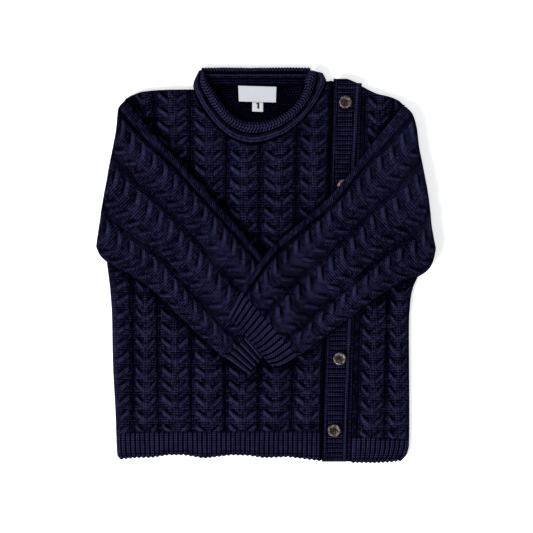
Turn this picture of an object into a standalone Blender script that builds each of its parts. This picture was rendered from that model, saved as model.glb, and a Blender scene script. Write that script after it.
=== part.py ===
"""Child's cable-knit cardigan, laid flat with both sleeves folded across the front.

Tables and sizes are in millimetres and become metres where points are placed. X runs to the
viewer's right, Y towards the collar and Z up from the surface that the garment lies on, with
the origin under the middle of its outline. Left and right in names are the wearer's.
"""

import math

import bmesh
import bpy
import numpy as np
from mathutils import Matrix, Vector

MM = 0.001
SEAM = 0.3  # clear space between two pieces that are sewn together or lie on each other

# ---- Knitted cloth ---------------------------------------------------------------------------
WALL = 2.1  # thickness of a knitted wall under its raised pattern
REPEAT = 13.3  # length of one cable repeat along its column
LEAN = 7.4  # how far an arm of the cable runs along the column between its two ends
RIB_PITCH = 4.45  # one knit and one purl rib
RIB_RISE = 0.9
RIB_SINK = 0.2  # ribbed cloth lies a little lower than the cabled cloth
ROUNDED_END = 0.9  # how far a free knitted edge is rounded off
EDGE_HEIGHT = 1.2  # side wall left at a rounded side edge
SCALLOP = 0.5  # a knit rib ends this much lower than a purl rib at the hem
SHORTEST_STEP = 1.6  # shorter steps along a line of points are left out at the top outline
CLEARANCE = 0.4  # between a raised pattern and what lies over it


def table(columns, *rows):
    """Named columns of numbers, one row for each section."""
    return dict(zip(columns.split(), np.array(rows, float).T))


# One cable column from its left gutter to its right one: the place across it, how much of
# the lean a row of points has there, and the heights of an arm and of the crease after it.
CABLE = table(
    "across lean crest crease",
    (0.00, 0.00, -0.3, -0.3),
    (0.14, 0.00, 1.5, 0.2),
    (0.34, 0.95, 2.2, 0.9),
    (0.50, 1.00, 1.5, 1.4),
    (0.66, 0.95, 2.2, 0.9),
    (0.86, 0.00, 1.5, 0.2),
)
CABLE_RISE = CABLE["crest"].max()

# ---- Layers above the surface ----------------------------------------------------------------
BACK_TOP = 2.2
FRONT_INSIDE = BACK_TOP + SEAM
FRONT_TOP = FRONT_INSIDE + WALL
SLEEVE_REST = FRONT_TOP + CABLE_RISE + CLEARANCE  # underside of a sleeve on the front
BUTTON_BAND_TOP = FRONT_INSIDE + WALL
BUTTONHOLE_BAND_INSIDE = BUTTON_BAND_TOP + SEAM
BUTTONHOLE_BAND_TOP = BUTTONHOLE_BAND_INSIDE + 1.9

# ---- Outline of the body ---------------------------------------------------------------------
SIDE_RIGHT = table(  # wearer's right side, the viewer's left, from hem to shoulder
    "y x",
    (-178.0, -135.0),
    (-172.0, -137.3),
    (-135.0, -138.7),
    (-91.0, -141.0),
    (-47.0, -141.9),
    (-25.0, -143.3),
    (-10.0, -145.0),
    (3.0, -146.6),
    (14.0, -147.4),
    (27.6, -147.0),
    (56.3, -142.5),
    (86.2, -136.9),
    (116.1, -131.4),
    (129.9, -129.7),
    (137.8, -128.2),
    (145.4, -122.6),
    (153.1, -129.0),
)
SIDE_LEFT = table(  # wearer's left side, the viewer's right
    "y x",
    (-179.2, 126.0),
    (-171.8, 130.9),
    (-151.6, 132.5),
    (-59.6, 132.2),
    (-39.3, 133.0),
    (-28.3, 134.1),
    (-19.1, 136.4),
    (-9.9, 140.5),
    (0.0, 144.0),
    (12.9, 146.6),
    (27.3, 146.0),
    (42.2, 144.9),
    (56.9, 143.0),
    (71.5, 140.3),
    (87.4, 137.3),
    (101.9, 134.5),
    (116.6, 132.2),
    (127.0, 129.0),
    (132.0, 125.6),
    (137.0, 121.2),
    (140.0, 118.8),
    (147.8, 126.3),
)
HEM = table(
    "x y",
    (-138.0, -178.6),
    (-119.4, -176.8),
    (-104.7, -176.6),
    (-89.9, -174.3),
    (-75.2, -174.3),
    (-56.8, -177.3),
    (-31.1, -174.3),
    (-16.3, -174.8),
    (-1.6, -176.9),
    (20.5, -176.0),
    (42.6, -178.7),
    (60.0, -181.0),
    (101.4, -181.5),
    (116.2, -180.6),
    (131.0, -178.6),
)
HEM_RIB_TOP = table(
    "x y",
    (-140.0, -156.0),
    (-112.0, -153.4),
    (50.0, -153.2),
    (80.0, -158.5),
    (132.0, -161.0),
)
SHOULDER_RIGHT = table(
    "x y",
    (-129.0, 153.4),
    (-124.0, 156.2),
    (-117.4, 159.0),
    (-112.0, 160.2),
    (-97.3, 161.6),
    (-67.5, 162.2),
)
SHOULDER_LEFT = table(
    "x y",
    (62.0, 169.8),
    (79.4, 169.4),
    (87.0, 166.0),
    (101.4, 158.6),
    (114.2, 155.4),
    (122.5, 151.8),
    (126.3, 148.1),
)

# ---- Neckline: the rolled band's inner edge and its seam with the front -----------------------
NECK = table(
    "inner_x inner_y seam_x seam_y",
    (-57.3, 180.4, -61.8, 179.2),
    (-55.4, 174.1, -66.5, 168.6),
    (-52.2, 167.2, -66.2, 161.2),
    (-48.3, 161.1, -62.6, 153.0),
    (-43.1, 153.0, -56.4, 141.9),
    (-33.9, 141.6, -44.9, 127.7),
    (-23.7, 134.1, -31.5, 117.1),
    (-11.3, 132.0, -14.5, 112.0),
    (1.0, 133.2, 1.2, 114.3),
    (15.0, 138.7, 19.1, 121.7),
    (25.9, 147.4, 33.8, 133.6),
    (33.5, 158.0, 44.9, 147.0),
    (36.1, 166.8, 51.3, 157.6),
    (37.0, 174.1, 55.9, 168.6),
    (40.4, 179.8, 52.8, 177.0),
)
NECK_STATIONS = 34
NECK_CLEARANCE = 0.8  # the front's neck edge runs in longer straight pieces than the band's
NECK_BAND_WALL = table(  # outer side of the band's wall, across from its free inner edge
    "across height",
    (0.14, FRONT_INSIDE + 0.2),
    (0.00, 4.8),
    (0.05, 7.4),
    (0.22, 9.4),
    (0.42, 8.6),
    (0.56, 6.3),
    (0.68, 6.9),
    (0.82, 8.0),
    (0.95, 6.9),
    (1.00, 5.0),
    (0.98, FRONT_INSIDE + 0.2),
)
NECK_BAND_INSIDE = table(  # plain inner side of the same wall
    "across height",
    (0.86, FRONT_INSIDE + 0.2),
    (0.84, 4.8),
    (0.72, 5.0),
    (0.56, 4.2),
    (0.40, 6.2),
    (0.24, 7.2),
    (0.14, 6.4),
    (0.24, FRONT_INSIDE + 0.2),
)
BACK_BAND = table(  # section of the back neckband from its seam to its rolled top edge
    "y height",
    (166.5, 2.6),
    (169.5, 2.8),
    (174.2, 2.6),
    (176.0, 3.8),
    (178.6, 5.6),
    (181.0, 4.6),
    (182.2, 2.4),
)
BACK_BAND_ENDS = table(
    "y left right",
    (166.5, -51.2, 35.2),
    (174.2, -54.6, 36.2),
    (178.6, -56.6, 38.4),
    (182.2, -57.8, 39.2),
)
BACK_BAND_STATIONS = 24
BACK_NECK_SEAM = 166.1

# ---- Bands of the offset opening -------------------------------------------------------------
BAND_TOP, BAND_BOTTOM = 170.6, -181.0
BUTTONHOLE_BAND = table(  # its sides and, between them, the ribbed part
    "y left rib_left rib_right right",
    (-181.0, 51.7, 55.6, 70.2, 74.0),
    (-124.0, 53.4, 57.2, 72.2, 75.9),
    (-52.0, 55.6, 59.4, 75.0, 79.4),
    (94.0, 60.0, 63.8, 78.4, 82.6),
    (171.0, 62.4, 66.6, 82.6, 87.2),
)
BAND_RIB_PITCH = 4.3
BAND_RIB_RISE = 1.0
BAND_EDGE_SINK = 0.4
PLAIN_STEP = 12  # where the band is hidden it has only every twelfth row of points
BUTTON_BAND = table("y left right", (-179.4, 51.8, 78.0), (168.0, 62.2, 88.6))
HEM_GUIDE_Y, YOKE_GUIDE_Y = -137.8, 124.4  # where the gutters of the two tables below are given
WIDE_GUTTERS = table(
    "hem yoke",
    (-122.1, -121.5),
    (-98.2, -102.8),
    (-67.9, -68.8),
    (-37.1, -35.6),
    (-5.6, -4.4),
    (24.5, 29.7),
    (52.5, 60.4),
)
NARROW_GUTTERS = table("hem yoke", (79.9, 87.8), (85.0, 91.6), (110.6, 117.1))

# ---- Sleeves: their two long edges from the side fold to the cuff ------------------------------
SLEEVE_RIGHT_EDGES = table(  # wearer's right, the lower one
    "upper_x upper_y lower_x lower_y",
    (-129.4, 152.8, -155.6, 17.0),
    (-104.0, 122.0, -146.0, 3.4),
    (-68.0, 82.6, -108.0, -19.6),
    (-32.0, 42.8, -75.9, -50.6),
    (-2.0, 6.0, -43.7, -80.8),
    (14.5, -23.0, -33.0, -88.4),
    (23.8, -52.3, -16.4, -100.5),
)
SLEEVE_LEFT_EDGES = table(  # wearer's left, the upper one
    "upper_x upper_y lower_x lower_y",
    (126.8, 147.4, 155.4, 16.0),
    (114.5, 132.2, 151.0, -0.5),
    (98.7, 112.8, 141.5, -9.6),
    (63.3, 67.8, 121.7, -17.2),
    (34.0, 41.0, 77.9, -48.2),
    (3.2, 13.7, 44.4, -73.9),
    (-21.3, -21.1, 18.6, -90.7),
    (-34.6, -45.8, 6.5, -93.4),
)
BOW_RIGHT = table(  # how far the side fold bows out of the straight line between its two ends
    "share out",
    (0.0, 0.0),
    (0.06, 4.9),
    (0.12, 4.5),
    (0.22, 3.5),
    (0.44, 3.3),
    (0.66, 3.1),
    (0.87, 2.0),
    (1.0, 1.0),
)
BOW_LEFT = table(
    "share out",
    (0.0, 0.0),
    (0.02, 3.2),
    (0.08, 7.2),
    (0.19, 7.8),
    (0.30, 6.5),
    (0.41, 6.1),
    (0.53, 5.6),
    (0.64, 5.2),
    (0.75, 3.8),
    (0.86, 2.0),
    (1.0, 1.6),
)
BOW_REACH = 0.3  # share of the sleeve's length over which the bow fades
SLEEVE_GUTTERS = table(  # share of the width from the upper edge, at the side fold and at the cuff
    "fold cuff",
    (0.00, 0.00),
    (0.07, 0.07),
    (0.37, 0.42),
    (0.72, 0.79),
    (1.00, 1.00),
)
CUFF_LENGTH = 26.0
CUFF_RIBS = 14
SLEEVE_WALL = 2.0
SLEEVE_HOLLOW = table("share height", (0.0, 0.9), (0.25, 1.7), (0.5, 2.0), (0.75, 1.7), (1.0, 0.9))
# The sleeve's end turns round the side fold and goes under to the armhole. Each row is one
# ring of that turn: distances from the fold, and heights as shares of the way from the back
# layer to the top layer, for the outer side, the hollow's two sides and the side on the front.
FOLD = table(
    "outer_d outer_z hollow_out_d hollow_out_z hollow_in_d hollow_in_z inner_d inner_z",
    (9.5, 0.00, 9.5, 0.00, 9.5, 0.00, 9.5, 0.00),
    (5.6, 0.00, 5.9, 0.00, 7.2, 0.06, 8.8, 0.12),
    (1.5, 0.18, 3.3, 0.20, 5.6, 0.28, 8.4, 0.35),
    (0.0, 0.50, 2.2, 0.50, 5.2, 0.50, 8.3, 0.50),
    (1.5, 0.83, 3.3, 0.81, 5.6, 0.72, 8.5, 0.72),
    (5.6, 0.98, 5.9, 0.98, 7.2, 0.94, 8.9, 0.93),
)
TURN_ROWS = len(FOLD["outer_d"])
SLEEVE_START = 10.6  # where the lying part of the sleeve begins
CUFF_INSET = 0.035  # share of the cuff's width at each edge that has no rib
CUFF_ROWS = (0.06, 0.55, 0.96, 1.0)  # shares of the cuff's length

HIDDEN_MARGIN = 7.0  # the raised pattern runs this far under whatever covers it

# What lifts the upper sleeve: its ramp reaches this far past each thing that it lies on.
CROSSING_REACH = 24.0
BAND_REACH = 12.0
BUTTON_REACH = 15.0

# ---- Buttons and labels ----------------------------------------------------------------------
BUTTON_RADIUS = 5.8
BUTTON_SIDES = 14
BUTTON_PROFILE = table(  # from the middle of the top round the rim to the back
    "radius height",
    (0.0, 1.3),
    (3.1, 1.3),
    (4.6, 2.6),
    (5.5, 2.1),
    (5.8, 1.2),
    (4.6, 0.0),
    (0.0, 0.0),
)
BUTTON_HOLE_RADIUS = 0.75
BUTTON_HOLE_OFFSET = 1.35
BUTTON_HOLE_SIDES = 5
BUTTON_BULGE = 7.2  # the sleeve keeps its full lift this far past a button's rim
BUTTONS = table("x y", (73.4, 150.0), (71.8, 73.2), (69.7, -8.4), (68.0, -85.9), (62.9, -152.0))
LABEL_THICKNESS = 0.6
NECK_LABEL = table("x y", (-25.4, 165.7), (9.9, 164.7), (9.4, 150.2), (-24.8, 151.2))
SIZE_LABEL = table("x y", (-12.4, 150.4), (-2.4, 150.2), (-2.4, 141.6), (-12.5, 141.9))
HEM_SHARES = (0.07, 0.5, 0.95, 1.0)  # rows of points down the hem rib

# ---- Finishes: base colour, roughness, metallic ----------------------------------------------
FINISHES = {
    "navy_knit": ((0.0075, 0.0068, 0.020, 1.0), 0.92, 0.0),
    "navy_rib": ((0.0065, 0.0060, 0.018, 1.0), 0.92, 0.0),
    "horn_button": ((0.105, 0.075, 0.068, 1.0), 0.32, 0.0),
    "white_label": ((0.80, 0.82, 0.84, 1.0), 0.60, 0.0),
}


# ---- Helpers -----------------------------------------------------------------------------------
def look_up(rows, column, at, key="y"):
    """A table's column, read between its rows."""
    return float(np.interp(at, rows[key], rows[column]))


def smooth_curve(points, fractions):
    """Points on a curve through the given ones, at fractions of its length."""
    points = np.asarray(points, float)
    padded = np.vstack([2 * points[:1] - points[1:2], points, 2 * points[-1:] - points[-2:-1]])
    dense = []
    for a, b, c, d in zip(padded, padded[1:], padded[2:], padded[3:]):
        for t in np.linspace(0.0, 1.0, 12, endpoint=False):
            cubic = 2 * a - 5 * b + 4 * c - d + t * (3 * b - a - 3 * c + d)
            dense.append(b + 0.5 * t * (c - a + t * cubic))
    dense = np.array(dense + [points[-1]])
    lengths = np.concatenate([[0.0], np.cumsum(np.linalg.norm(np.diff(dense, axis=0), axis=1))])
    wanted = np.asarray(fractions) * lengths[-1]
    return np.stack([np.interp(wanted, lengths, dense[:, k]) for k in range(points.shape[1])], axis=-1)


def smooth_step(value):
    value = min(max(value, 0.0), 1.0)
    return value * value * (3.0 - 2.0 * value)


def outside_distance(x, y, outline):
    """How far a point lies outside a closed outline, or minus how deep it lies in it."""
    start, end = outline, np.roll(outline, -1, axis=0)
    side, to_point = end - start, np.array([x, y]) - start
    along = np.clip((side * to_point).sum(axis=1) / (side * side).sum(axis=1), 0.0, 1.0)
    distance = np.linalg.norm(to_point - along[:, None] * side, axis=1).min()
    straddles = (start[:, 1] > y) != (end[:, 1] > y)
    crossing_x = start[:, 0] + (y - start[:, 1]) / np.where(straddles, side[:, 1], 1.0) * side[:, 0]
    return -distance if np.count_nonzero(straddles & (crossing_x > x)) % 2 else distance


def well_under(x, y, cover):
    """Whether a point lies so far under a cover that the raised pattern isn't made there."""
    return outside_distance(x, y, cover) < -HIDDEN_MARGIN


def grid_sheet(bm, columns, rows, place):
    """A grid whose point at a column and row lies at place(column, row), as rows of points."""
    made = bmesh.ops.create_grid(bm, x_segments=columns - 1, y_segments=rows - 1, size=0.5)
    sheet = [[None] * columns for _ in range(rows)]
    for vert in made["verts"]:
        column = round((vert.co.x + 0.5) * (columns - 1))
        row = round((vert.co.y + 0.5) * (rows - 1))
        vert.co = Vector(place(column, row)) * MM
        sheet[row][column] = vert
    return sheet


def zip_rows(bm, first, second, closed=False):
    """Joins two rows of points, however many each has, by triangles spread along them."""

    def spread(row):
        steps = [(b.co - a.co).length for a, b in zip(row, row[1:])]
        return np.concatenate([[0.0], np.cumsum(steps)]) / max(sum(steps), 1e-9)

    first, second = list(first), list(second)
    if closed:
        first.append(first[0])
        second.append(second[0])
    along_first, along_second = spread(first), spread(second)
    i = j = 0
    while i < len(first) - 1 or j < len(second) - 1:
        last_of_second = j == len(second) - 1
        if last_of_second or (i < len(first) - 1 and along_first[i + 1] <= along_second[j + 1]):
            bm.faces.new((first[i], first[i + 1], second[j]))
            i += 1
        else:
            bm.faces.new((first[i], second[j + 1], second[j]))
            j += 1


def close_below(bm, height):
    """Gives an open sheet side walls and a plain flat inside at a height."""
    edges = [edge for edge in bm.edges if edge.is_boundary]
    made = bmesh.ops.extrude_edge_only(bm, edges=edges)["geom"]
    for element in made:
        if isinstance(element, bmesh.types.BMVert):
            element.co.z = height * MM
    made_edges = [element for element in made if isinstance(element, bmesh.types.BMEdge)]
    bmesh.ops.contextual_create(bm, geom=[edge for edge in made_edges if edge.is_boundary])


def finish_of(name):
    material = bpy.data.materials.get(name)
    if material is None:
        colour, roughness, metallic = FINISHES[name]
        material = bpy.data.materials.new(name)
        material.use_nodes = True
        shader = material.node_tree.nodes["Principled BSDF"]
        shader.inputs["Base Color"].default_value = colour
        shader.inputs["Roughness"].default_value = roughness
        shader.inputs["Metallic"].default_value = metallic
        material.diffuse_color = colour
    return material


def add_piece(name, bm, finish, smooth_below=50.0):
    """Turns a closed bmesh into a named object with its own copy of a finish."""
    bmesh.ops.recalc_face_normals(bm, faces=bm.faces)
    mesh = bpy.data.meshes.new(name)
    bm.to_mesh(mesh)
    bm.free()
    mesh.shade_smooth()
    mesh.set_sharp_from_angle(angle=math.radians(smooth_below))
    material = finish_of(finish).copy()
    material.name = f"{name}_{finish}"
    mesh.materials.append(material)
    piece = bpy.data.objects.new(name, mesh)
    bpy.context.scene.collection.objects.link(piece)
    return piece


# ---- Sleeves -----------------------------------------------------------------------------------
class Sleeve:
    """A knitted tube pressed flat: two walls joined at its long edges, open at cuff and armhole."""

    def __init__(self, name, edges, bow, rest_at, under_count, stations, plain_under=None):
        self.name = name
        self.bow = bow
        dense = np.linspace(0.0, 1.0, 200)
        self.dense = dense
        self.upper = smooth_curve(np.stack([edges["upper_x"], edges["upper_y"]], axis=1), dense)
        self.lower = smooth_curve(np.stack([edges["lower_x"], edges["lower_y"]], axis=1), dense)
        self.rest_at = rest_at
        self.under_shares = np.linspace(0.04, 0.96, under_count)
        self.hollow_shares = np.linspace(0.055, 0.945, max(5, under_count - 2))
        self.stations = stations
        self.plain_under = plain_under
        self.lengths = [np.linalg.norm(np.diff(s, axis=0), axis=1).sum() for s in (self.upper, self.lower)]
        self.length = sum(self.lengths) / 2.0
        fold = self.lower[0] - self.upper[0]
        across = np.array([fold[1], -fold[0]]) / np.linalg.norm(fold)
        self.outward = across * np.sign(across @ (self.upper[0] - self.upper[-1]))

    def point(self, along, share):
        """The place in plan at a share of the length and a share of the width."""
        upper = np.array([np.interp(along, self.dense, self.upper[:, k]) for k in range(2)])
        lower = np.array([np.interp(along, self.dense, self.lower[:, k]) for k in range(2)])
        bow = look_up(self.bow, "out", share, key="share") * smooth_step(1.0 - along / BOW_REACH)
        return upper + (lower - upper) * share + self.outward * bow

    def at_distance(self, distance, share):
        """The place in plan at a distance from the side fold, and how far along that is."""
        length = self.lengths[0] + (self.lengths[1] - self.lengths[0]) * share
        return self.point(distance / length, share)

    def rest(self, place):
        return self.rest_at(place[0], place[1])

    def hollow(self, share):
        return look_up(SLEEVE_HOLLOW, "height", share, key="share")

    def wall_top(self, place, share):
        return self.rest(place) + 2.0 * SLEEVE_WALL + self.hollow(share)

    def top_lines(self):
        """Lines along the sleeve's upper side: strip, place across it, lean, crest and crease."""
        strips = len(SLEEVE_GUTTERS["fold"]) - 1
        lines = [(0, 0.45, 0.0, 0.2, 0.2)]
        for strip in range(1, strips):
            lines += [(strip, *row) for row in zip(*CABLE.values())]
        lines[-1] = (strips - 1, 0.86, 0.0, 0.9, 0.2)
        return lines + [(strips - 1, 0.955, 0.0, -0.1, -0.1)]

    def share_at(self, strip, across, along):
        gutters = SLEEVE_GUTTERS["fold"] * (1.0 - along) + SLEEVE_GUTTERS["cuff"] * along
        return float(gutters[strip] * (1.0 - across) + gutters[strip + 1] * across)

    def top_of_cables(self, column, row, lines, cable_rows, cuff_start):
        """The upper side: the turn round the fold, then the cables down to the cuff."""
        strip, across, lean, crest, crease = lines[column]
        if row < TURN_ROWS:
            share = self.share_at(strip, across, 0.0)
            place = self.at_distance(FOLD["outer_d"][row], share)
            relief = 0.5 * (crest + crease) * FOLD["outer_z"][row]
            height = (self.wall_top(place, share) + relief) * FOLD["outer_z"][row]
            return (*place, height)
        step = row - TURN_ROWS
        first = SLEEVE_START / self.length
        if step == 0:
            along = first
        elif step == cable_rows:
            along = cuff_start
        else:
            room = cuff_start - first - LEAN / self.length
            along = first + room * (step - 0.35) / (cable_rows - 1) + lean * LEAN / self.length
        share = self.share_at(strip, across, along)
        place = self.point(along, share)
        relief = (crease, crest)[step % 2] if 0 < step < cable_rows else crease
        if self.plain_under is not None and well_under(*place, self.plain_under):
            relief = 0.0
        return (*place, self.wall_top(place, share) + relief)

    def under_along(self, row):
        """Share of the length at a row of the underside, counted from where it lies flat."""
        first = SLEEVE_START / self.length
        return first + (1.0 - first) * (row - TURN_ROWS) / (self.stations - 1)

    def top_of_cuff(self, column, row, cuff_start):
        """The cuff's ribs run along the sleeve."""
        share = CUFF_INSET + (1.0 - 2.0 * CUFF_INSET) * column / (2 * CUFF_RIBS)
        place = self.point(cuff_start + (1.0 - cuff_start) * CUFF_ROWS[row], share)
        relief = RIB_RISE * (column % 2) - (ROUNDED_END if row == len(CUFF_ROWS) - 1 else 0.0)
        return (*place, self.wall_top(place, share) - RIB_SINK + relief)

    def underside(self, share, row):
        """Place and height of the side that lies on the front."""
        if row >= TURN_ROWS:
            place = self.point(self.under_along(row), share)
            return place, self.rest(place)
        place = self.at_distance(FOLD["inner_d"][row], share)
        return place, FRONT_TOP + (self.rest(place) - FRONT_TOP) * FOLD["inner_z"][row]

    def long_edge(self, bm, share):
        """A line of points midway up one of the two long edges, on the sleeve's outline."""
        points = []
        for row in range(TURN_ROWS + self.stations):
            place, low = self.underside(share, row)
            high = self.wall_top(place, share)
            if row < TURN_ROWS:
                place = self.at_distance(0.5 * (FOLD["outer_d"][row] + FOLD["inner_d"][row]), share)
                high *= FOLD["outer_z"][row]
            points.append(bm.verts.new(Vector((*place, 0.5 * (low + high))) * MM))
        return points

    def hollow_point(self, column, row):
        """A ring of the hollow: across under the upper wall, and back over the lower one."""
        count = len(self.hollow_shares)
        upper_side = column < count
        share = self.hollow_shares[column if upper_side else 2 * count - 1 - column]
        lift = SLEEVE_WALL + (self.hollow(share) if upper_side else 0.0)
        if row >= TURN_ROWS:
            place = self.point(self.under_along(row), share)
            return (*place, self.rest(place) + lift)
        side = "out" if upper_side else "in"
        place = self.at_distance(FOLD[f"hollow_{side}_d"][row], share)
        low = BACK_TOP - 0.1 if upper_side else FRONT_INSIDE
        return (*place, low + (self.rest(place) + lift - low) * FOLD[f"hollow_{side}_z"][row])

    def build(self):
        bm = bmesh.new()
        lines = self.top_lines()
        cuff_start = 1.0 - CUFF_LENGTH / self.length
        cable_rows = round((cuff_start * self.length - SLEEVE_START) / (REPEAT / 2.0))
        rows = TURN_ROWS + self.stations

        cables = grid_sheet(
            bm, len(lines), TURN_ROWS + cable_rows + 1,
            lambda column, row: self.top_of_cables(column, row, lines, cable_rows, cuff_start),
        )
        ribs = grid_sheet(
            bm, 2 * CUFF_RIBS + 1, len(CUFF_ROWS),
            lambda column, row: self.top_of_cuff(column, row, cuff_start),
        )
        zip_rows(bm, cables[-1], ribs[0])

        def place_under(column, row):
            place, height = self.underside(self.under_shares[column], row)
            return (*place, height)

        under = grid_sheet(bm, len(self.under_shares), rows, place_under)
        long_edges = {}
        for share, column in ((0.0, 0), (1.0, -1)):
            long_edges[column] = self.long_edge(bm, share)
            top = [row[column] for row in cables] + [row[column] for row in ribs]
            zip_rows(bm, top, long_edges[column])
            zip_rows(bm, long_edges[column], [row[column] for row in under])

        hollow = grid_sheet(bm, 2 * len(self.hollow_shares), rows, self.hollow_point)
        for low, high in zip(hollow, hollow[1:]):
            bm.faces.new((low[-1], low[0], high[0], high[-1]))
        for end, top in ((0, cables[0]), (-1, ribs[-1])):
            ring = [long_edges[0][end], *top, long_edges[-1][end], *reversed(under[end])]
            zip_rows(bm, ring, hollow[end], closed=True)
        add_piece(self.name, bm, "navy_knit")


# ---- Front panels ------------------------------------------------------------------------------
class Front:
    """A front panel: leaning cables over its height, a ribbed hem, and a flat plain inside."""

    def __init__(self, name, guides, strips, top, covers, ends_at_side):
        self.name = name
        self.ends_at_side = ends_at_side
        self.guides = guides
        self.strips = strips
        self.top = top
        self.covers = covers

    def lines(self):
        """Lines up the panel: strip, place across it, lean, crest and crease."""
        lines = []
        for strip, kind in enumerate(self.strips):
            if kind == "cable":
                lines += [(strip, *row) for row in zip(*CABLE.values())]
            elif kind == "half cable":
                half = [row for row in zip(*CABLE.values()) if row[0] >= 0.5]
                lines += [(strip, 2.0 * row[0] - 1.0, *row[1:]) for row in half]
            else:
                lines.append((strip, 0.0, 0.0, -0.3, -0.3))
        lines.append((len(self.strips) - 1, 1.0, 0.0, -0.3, -0.3))
        return lines

    def x_at(self, strip, across, y):
        return self.guides[strip](y) * (1.0 - across) + self.guides[strip + 1](y) * across

    def top_y(self, strip, across):
        """Where a line up the panel meets its top outline."""
        y = YOKE_GUIDE_Y
        for _ in range(6):
            y = look_up(self.top, "y", self.x_at(strip, across, y), key="x")
        return y

    def hidden(self, x, y):
        return any(well_under(x, y, cover) for cover in self.covers)

    def is_plain(self, point):
        return abs(point.z - FRONT_TOP) < 0.001 and self.hidden(point.x, point.y)

    def build(self):
        bm = bmesh.new()
        lines = self.lines()
        last = len(lines) - 1
        tops = [self.top_y(strip, across) for strip, across, *_ in lines]
        rib_top = [look_up(HEM_RIB_TOP, "y", self.x_at(s, a, HEM_GUIDE_Y), key="x") for s, a, *_ in lines]
        rows = math.ceil((max(tops) - min(rib_top)) / (REPEAT / 2.0)) + 1

        def place(column, row):
            strip, across, lean, crest, crease = lines[column]
            y = rib_top[column]
            if row > 0:
                y = min(rib_top) + REPEAT / 2.0 * (row - 0.6) + LEAN * (1.0 - lean)
                y = max(y, rib_top[column] + SHORTEST_STEP)
            relief = (crease, crest)[row % 2] if row > 0 else 0.4 * crest
            if y > tops[column] - SHORTEST_STEP:
                y = tops[column]
                relief = crease
            x = self.x_at(strip, across, y)
            if self.hidden(x, y):
                relief = 0.0
            height = FRONT_TOP + relief
            if column == 0 or (column == last and self.ends_at_side):
                height = FRONT_INSIDE + EDGE_HEIGHT
            return (x, y, height)

        cables = grid_sheet(bm, len(lines), rows, place)

        # hem rib, with one short row of triangles where the counts of points change
        left, right = self.guides[0](HEM_GUIDE_Y), self.guides[-1](HEM_GUIDE_Y)
        ribs = round((right - left) / RIB_PITCH)

        def place_rib(column, row):
            share = column / (2 * ribs)
            x_top = left + (right - left) * share
            top = look_up(HEM_RIB_TOP, "y", x_top, key="x")
            bottom = look_up(HEM, "y", x_top, key="x") - SCALLOP * (column % 2)
            y = top + (bottom - top) * HEM_SHARES[row]
            x = self.guides[0](y) * (1.0 - share) + self.guides[-1](y) * share
            height = FRONT_TOP - RIB_SINK + RIB_RISE * (column % 2)
            if row == len(HEM_SHARES) - 1:
                height -= ROUNDED_END
            if column == 0 or (column == 2 * ribs and self.ends_at_side):
                height = FRONT_INSIDE + EDGE_HEIGHT
            return (x, y, height)

        rib_sheet = grid_sheet(bm, 2 * ribs + 1, len(HEM_SHARES), place_rib)
        zip_rows(bm, cables[0], rib_sheet[0])

        bmesh.ops.remove_doubles(bm, verts=bm.verts, dist=0.01 * MM)
        covered = [face for face in bm.faces if all(self.is_plain(vert.co / MM) for vert in face.verts)]
        bmesh.ops.dissolve_faces(bm, faces=covered, use_verts=False)
        close_below(bm, FRONT_INSIDE)
        add_piece(self.name, bm, "navy_knit")


def straight_guide(hem, yoke):
    return lambda y: hem + (yoke - hem) * (y - HEM_GUIDE_Y) / (YOKE_GUIDE_Y - HEM_GUIDE_Y)


def side_guide(side, inset):
    return lambda y: look_up(side, "x", y) + inset


def neck_seam_curve():
    """The front's neck edge, a little outside the rolled band's seam."""
    stations = np.stack([NECK["seam_x"], NECK["seam_y"]], axis=1)
    curve = smooth_curve(stations[2:14], np.linspace(0.0, 1.0, 40))
    tangent = np.gradient(curve, axis=0)
    tangent /= np.linalg.norm(tangent, axis=1)[:, None]
    return curve + np.stack([tangent[:, 1], -tangent[:, 0]], axis=1) * NECK_CLEARANCE


def wide_top():
    neck = neck_seam_curve()
    shoulder = np.stack([SHOULDER_RIGHT["x"], SHOULDER_RIGHT["y"]], axis=1)
    tongue = np.array([(neck[-1, 0] + 1.0, 169.8), (62.0, 170.4)])
    outline = np.vstack([shoulder, neck[neck[:, 1] < shoulder[-1, 1]], tongue])
    outline = outline[np.concatenate([[True], np.diff(outline[:, 0]) > 0.05])]
    return {"x": outline[:, 0], "y": outline[:, 1]}


def build_fronts(covers):
    wide_guides = [side_guide(SIDE_RIGHT, 0.0)]
    wide_guides += [straight_guide(*row) for row in zip(WIDE_GUTTERS["hem"], WIDE_GUTTERS["yoke"])]
    wide_guides[-1] = straight_guide(WIDE_GUTTERS["hem"][-1] - SEAM, WIDE_GUTTERS["yoke"][-1] - SEAM)
    wide_strips = ["half cable"] + ["cable"] * 6
    Front("front_wide", wide_guides, wide_strips, wide_top(), covers, ends_at_side=False).build()

    narrow_guides = [straight_guide(*row) for row in zip(NARROW_GUTTERS["hem"], NARROW_GUTTERS["yoke"])]
    narrow_guides.append(side_guide(SIDE_LEFT, 0.0))
    narrow_strips = ["plain", "cable", "cable"]
    Front("front_narrow", narrow_guides, narrow_strips, SHOULDER_LEFT, covers, ends_at_side=True).build()


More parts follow.
